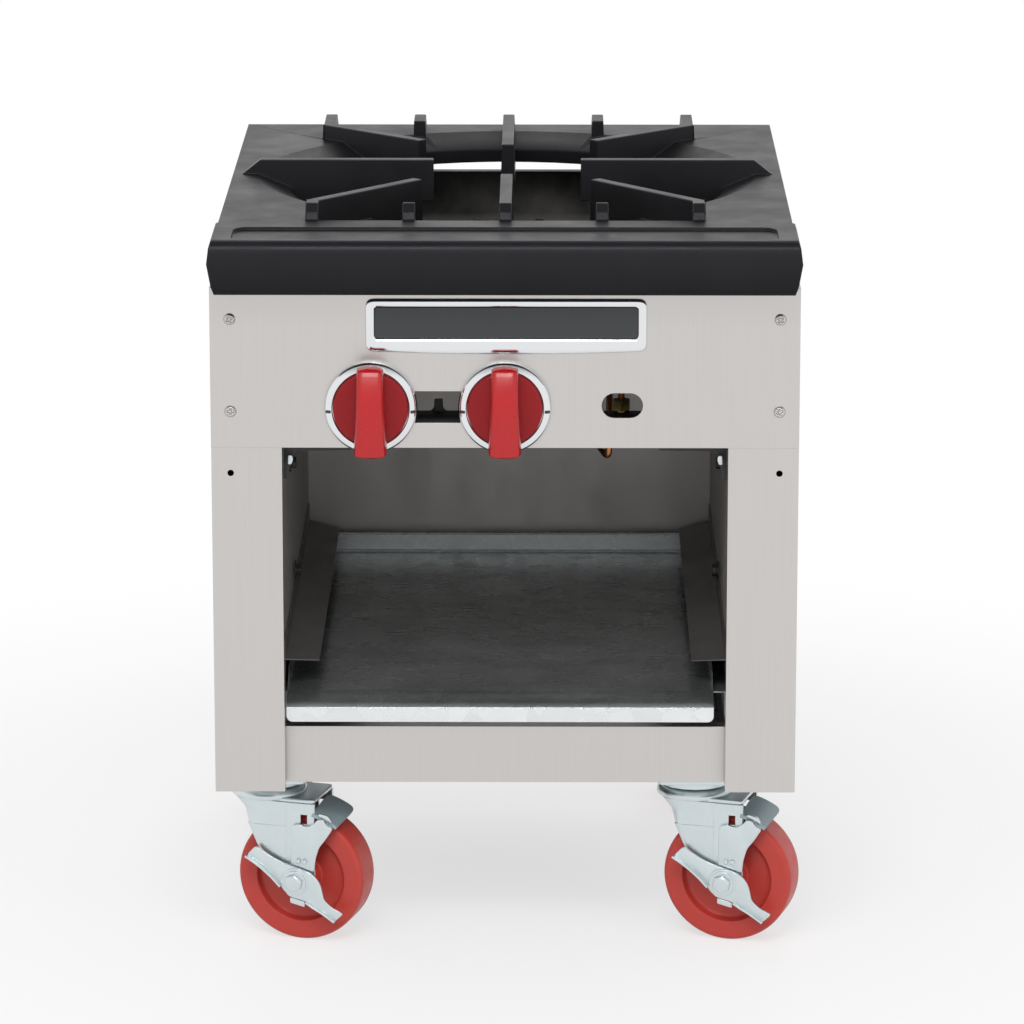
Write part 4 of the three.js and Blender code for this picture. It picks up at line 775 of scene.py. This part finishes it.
def axle_bolt(place, outer):
    """Shaft with a washer and a domed hexagon head on the outer side, and a nut on the other."""
    shaft = rounded([(0, -34), (5.8, -34), (5.8, outer), (0, outer)], [0, 1.2, 0.2, 0], 4)
    washer = rounded([(0, outer), (9.6, outer), (9.6, outer + 1.6), (0, outer + 1.6)], [0, 0.5, 0.5, 0], 4)
    head = [(0, 1.4), (6.9, 1.4), (6.9, 4.2), (5.4, 5.6), (0, 6)]
    head = rounded([(r, outer + h) for r, h in head], [0, 0.2, 0.8, 1, 0], 4)
    nut = plate(hexagon(15.5, 0.2), 6.2, 0.9, origin=(0, 0, -31.4))
    hexagonal = plate(hexagon(13.6, 0.35), 3.6, 1.1, origin=(0, 0, outer + 1.4))
    points, faces = joined(turned(shaft, 40), turned(washer, 48), turned(head, 48), hexagonal, nut)
    return placed(points, **place), faces


def ribbon(path, thick):
    """Closed outline of a strip: along the path and back, moved to its left by the thickness."""
    p = np.asarray(path, float)
    along = np.gradient(p, axis=0)
    along /= np.linalg.norm(along, axis=1, keepdims=True)
    return np.vstack([p, (p + np.column_stack([-along[:, 1], along[:, 0]]) * thick)[::-1]])


def brake_pedal(place):
    """Pressed lever on the axle: a lobed plate whose two arms have a folded flange on their lower edges."""
    body = [
        (-40.8, 18.7), (-32.5, 27.7), (-26.7, 23.5), (-19.2, 18.9), (-10.0, 15.0), (-3.4, 13.1), (9.9, 9.5),
        (16.6, 6.4), (21.3, -0.2), (23.3, -8.1), (24.1, -12.8), (30.7, -18.8), (40.7, -23.3), (32.9, -30.7),
        (21.6, -23.1), (10.8, -18.8), (9.1, -15.8), (-3.4, -13.1), (-7.5, -10.8), (-8.4, -3.6), (-11.7, -4.3),
        (-26.7, 9.6),
    ]
    sheet = plate(rounded(body, 3.2, 5), 2.6, 0.6, origin=(0, 0, 28.2))
    left = ribbon([(-41.2, 18.4), (-34, 14.1), (-26.9, 9.2), (-19, 2.6), (-12.0, -4.6)], 1.8)
    right = ribbon([(9.1, -16.4), (15, -20.2), (21.6, -23.6), (27, -27.0), (33.1, -31.0)], 1.8)
    flanges = [plate(strip, wide, 0.5, origin=(0, 0, 28.4)) for strip, wide in ((left, 6.4), (right, 5.4))]
    tab = plate(rounded([(-4, -13), (8.2, -16), (8.2, -20.4), (-4, -17.6)], 1, 3), 1.6, 0.4, origin=(0, 0, 29.6))
    boss = plate(circle(11.5, 48), 1.6, 0.7, origin=(0, 0, 29.8))
    points, faces = joined(sheet, *flanges, tab, boss)
    return placed(points, **place), faces


def brake_hanger(place):
    """Plate outside the leg that carries the shoe, with the two small lugs over the lever. Lugs and neck keep
    clear of the lever and the leg by the shoe's travel of 2.2."""
    body = [
        (-4.0, 43.4), (-2.8, 46.3), (3.5, 47.9), (6.0, 46.1), (11.9, 46.5), (13.5, 48.0), (16.0, 49.4),
        (18.0, 52.4), (22.7, 53.0), (25.7, 48.4), (31.0, 45.6), (25.2, 36.4), (19.4, 28.8), (16.4, 19.1),
        (15.2, 8.1), (-4.6, 12.9), (-4.3, 27.4),
    ]
    sheet = plate(rounded(body, 2.2, 5), 2.6, 0.6, origin=(0, 0, 24.9))
    lug = rounded([(0, 14.8), (3.6, 14.8), (3.6, 18.6), (0, 18.6)], 1.2, 4)
    lugs = [plate(lug, 2.2, 0.7, origin=(a, 0, 27.2)) for a in (0.4, 5.6)]
    neck = plate(rounded([(16.8, 47), (27, 42), (31, 47), (27, 55), (18.4, 57)], 2, 4), 3, 0.5, origin=(0, 0, 22))
    points, faces = joined(sheet, *lugs, neck)
    return placed(points, **place), faces


def brake_tread_shoe(place):
    """Curved tab over the tread: at angle t from 54 to 77 degrees and depth c from -12 to 25 its outer face has
    the radius 58 + 0.17 (25 - c); its ends are drawn in along a quarter ellipse, which rounds the corners."""
    rows, across, thick = 28, 16, 2.8
    t = np.radians(np.linspace(54, 77, rows))
    end = np.clip((np.abs(np.linspace(-1, 1, rows)) - 0.62) / 0.38, 0, 1)
    shrink = 6.5 * (1 - np.sqrt(1 - end**2 * 0.999))
    c = 25 - (37 - shrink)[:, None] * np.linspace(0, 1, across)[None, :]
    radius = 58 + 0.17 * (25 - c)
    outer = np.stack([radius * np.cos(t)[:, None], radius * np.sin(t)[:, None], c], -1)
    less = radius - thick
    inner = np.stack([less * np.cos(t)[:, None], less * np.sin(t)[:, None], c], -1)
    points = np.concatenate([outer, inner[:, ::-1]], 1)
    return placed(points.reshape(-1, 3), **place), capped(rows, 2 * across)


class RANGE_OT_casters(bpy.types.Operator):
    """Wheels, races, forks, axle bolts and brakes"""

    bl_idname = "stock_range.casters"
    bl_label = "Casters"

    def execute(self, context):
        for corner in CORNERS:
            place = caster_frame(corner)
            half = [
                (6.7, 18.2), (13.4, 18.2), (15.2, 10.6), (16.5, 9.6), (32.6, 10.2), (35.0, 11.4), (36.8, 16.6),
                (50.2, 17.0), (52.5, 14.0),
            ]
            profile = half + [(r, -h) for r, h in reversed(half)]
            radii = [0.2, 0.8, 1.2, 1.0, 1.4, 1.4, 0.6, 2.2, 2.4]
            ring = rounded(profile, radii + radii[::-1])
            piece(f"wheel_tread_{corner}", turned(ring, 144, **place), FINISHES["red_wheel"],
                  f"wheel_{corner}", [f"caster_wheel_{corner}"])
            dress(f"caster_plate_{corner}", FINISHES["zinc_plate"], 0.0006)
            piece(f"fork_shell_{corner}", fork_shell(place), FINISHES["zinc_plate"], f"swivel_{corner}",
                  [f"caster_fork_{corner}"])
            outer = 31.2 if corner.startswith("front") else 25.0
            piece(f"axle_bolt_{corner}", axle_bolt(place, outer), FINISHES["zinc_plate"], f"swivel_{corner}",
                  [f"caster_axle_{corner}"])
        for side, _ in SIDES:
            place = caster_frame(f"front_{side}")
            piece(f"brake_pedal_{side}", brake_pedal(place), FINISHES["zinc_plate"], f"lever_{side}",
                  [f"brake_lever_{side}"])
            piece(f"brake_hanger_{side}", brake_hanger(place), FINISHES["zinc_plate"], f"shoe_{side}")
            piece(f"brake_tread_shoe_{side}", brake_tread_shoe(place), FINISHES["brake_plate"], f"shoe_{side}",
                  [f"brake_shoe_{side}"])
        return {"FINISHED"}


# ------------------------------------------------------------------ studio
def lamp(name, at, towards, size, watts):
    """Soft box of a size in metres, aimed at a point, seen neither by the camera nor in reflections."""
    data = bpy.data.lights.new(name, "AREA")
    data.shape = "RECTANGLE"
    data.size, data.size_y = size
    data.energy = watts
    obj = bpy.data.objects.new(name, data)
    obj.location = at
    obj.rotation_euler = (Vector(towards) - Vector(at)).to_track_quat("-Z", "Y").to_euler()
    obj.visible_glossy = obj.visible_camera = False
    bpy.context.scene.collection.objects.link(obj)
    return obj


def seen_rays(tree):
    """1 for rays from the camera and those that a metal or a gloss reflects, otherwise 0."""
    rays = node(tree, "ShaderNodeLightPath")
    seen = rays.outputs["Is Camera Ray"]
    for kind in ("Is Glossy Ray", "Is Transmission Ray"):
        seen = node(tree, "ShaderNodeMath", {0: seen, 1: rays.outputs[kind]}, operation="MAXIMUM").outputs[0]
    return seen


def studio_floor():
    """Paper floor. Where it is seen it turns to plain white away from the range: the share of white goes from
    0.65 at 0.4 m from the middle to 1 at 1.1 m, so the shadow under the casters stays."""
    made = bpy.data.materials.new("Studio paper")
    made.use_nodes = True
    tree = made.node_tree
    shader = tree.nodes["Principled BSDF"]
    shader.inputs["Roughness"].default_value = 0.9
    shader.inputs["Specular IOR Level"].default_value = 0.1
    shade = bpy.context.scene.range_colours.floor
    light = [min(1, v * 1.01) for v in shade]
    fibre = clouds(tree, (0.02, 0.02, 0.02), 2.0)
    tone = node(tree, "ShaderNodeMix", {0: fibre, 6: list(shade), 7: light}, data_type="RGBA")
    tree.links.new(tone.outputs[2], shader.inputs["Base Color"])
    place = node(tree, "ShaderNodeTexCoord").outputs["Object"]
    reach = node(tree, "ShaderNodeVectorMath", {0: place}, operation="LENGTH").outputs["Value"]
    share = node(
        tree, "ShaderNodeMapRange", {"Value": reach, "From Min": 0.4, "From Max": 1.1, "To Min": 0.65, "To Max": 1.0},
        interpolation_type="SMOOTHSTEP",
    )
    amount = node(tree, "ShaderNodeMath", {0: share.outputs[0], 1: seen_rays(tree)}, operation="MULTIPLY")
    white = node(tree, "ShaderNodeEmission", {"Color": (1, 1, 1, 1), "Strength": 1.0})
    blend = node(tree, "ShaderNodeMixShader", {0: amount.outputs[0], 1: shader.outputs[0], 2: white.outputs[0]})
    tree.links.new(blend.outputs[0], tree.nodes["Material Output"].inputs["Surface"])
    mesh = bpy.data.meshes.new("floor")
    far = 14.0
    mesh.from_pydata([(-far, -far, 0), (far, -far, 0), (far, far, 0), (-far, far, 0)], [], [(0, 1, 2, 3)])
    mesh.materials.append(made)
    floor = bpy.data.objects.new("floor", mesh)
    bpy.context.scene.collection.objects.link(floor)


class RANGE_OT_studio(bpy.types.Operator):
    """Floor, world, lamps and camera. What metal reflects is white up to 30 degrees above the horizon and
    darkens towards the ceiling."""

    bl_idname = "stock_range.studio"
    bl_label = "Studio"

    def execute(self, context):
        scene = context.scene
        scene.view_settings.view_transform = "Standard"
        studio_floor()
        world = bpy.data.worlds.new("Studio")
        scene.world = world
        world.use_nodes = True
        tree = world.node_tree
        tree.nodes.clear()
        rays = node(tree, "ShaderNodeLightPath")
        look = node(tree, "ShaderNodeSeparateXYZ", {0: node(tree, "ShaderNodeTexCoord").outputs["Generated"]})
        ceiling = node(
            tree, "ShaderNodeMapRange",
            {"Value": look.outputs["Z"], "From Min": 0.5, "From Max": 0.85, "To Min": 1.0, "To Max": 0.25},
        )
        white = node(tree, "ShaderNodeMix", {0: rays.outputs["Is Camera Ray"], 2: ceiling.outputs[0], 3: 1.0})
        level = node(tree, "ShaderNodeMix", {0: seen_rays(tree), 2: 0.5, 3: white.outputs[0]})
        sky = node(tree, "ShaderNodeBackground", {"Color": (1, 1, 1, 1), "Strength": level.outputs[0]})
        node(tree, "ShaderNodeOutputWorld", {"Surface": sky.outputs[0]})
        lamp("Key", (-0.9, -2.6, 2.6), (0, 0, 0.3), (2.6, 1.8), 38)
        lamp("Fill", (2.6, -2.6, 1.6), (0, 0, 0.35), (2.0, 2.0), 26)
        lamp("Rear", (0.0, 2.6, 2.6), (0, 0, 0.5), (2.8, 1.6), 36)
        lamp("Glint", (-0.05, -1.8, 1.8), (-0.05, -0.27, 0.45), (0.8, 0.45), 11).visible_glossy = True
        data = bpy.data.cameras.new("Camera")
        data.sensor_width = 36
        data.lens = 193.0
        camera = bpy.data.objects.new("Camera", data)
        camera.location = (0.0307, -4.3945, 1.3846)
        camera.rotation_euler = Vector((-0.00607, 1, -0.2447)).to_track_quat("-Z", "Y").to_euler()
        scene.collection.objects.link(camera)
        scene.camera = camera
        return {"FINISHED"}


OPERATORS = (
    RANGE_OT_casework, RANGE_OT_cast_top, RANGE_OT_controls, RANGE_OT_burner, RANGE_OT_casters, RANGE_OT_studio,
)


class RANGE_PT_sidebar(bpy.types.Panel):
    """Lists the pieces of the range"""

    bl_label = "Stock pot range"
    bl_idname = "RANGE_PT_sidebar"
    bl_space_type = "VIEW_3D"
    bl_region_type = "UI"
    bl_category = "Range"

    def draw(self, context):
        for operator in OPERATORS:
            self.layout.operator(operator.bl_idname)
        for group in (context.scene.range_sizes, context.scene.range_colours):
            for name in group.bl_rna.properties.keys():
                if name not in ("rna_type", "name"):
                    self.layout.prop(group, name)


CLASSES = (RangeSizes, RangeColours, *OPERATORS, RANGE_PT_sidebar)


def register():
    for cls in CLASSES:
        bpy.utils.register_class(cls)
    bpy.types.Scene.range_sizes = bpy.props.PointerProperty(type=RangeSizes)
    bpy.types.Scene.range_colours = bpy.props.PointerProperty(type=RangeColours)


def unregister():
    del bpy.types.Scene.range_colours
    del bpy.types.Scene.range_sizes
    for cls in reversed(CLASSES):
        bpy.utils.unregister_class(cls)


def main():
    register()
    make_finishes()
    bpy.ops.stock_range.casework()
    bpy.ops.stock_range.cast_top()
    bpy.ops.stock_range.controls()
    bpy.ops.stock_range.burner()
    bpy.ops.stock_range.casters()
    bpy.ops.stock_range.studio()


if __name__ == "__main__":
    main()
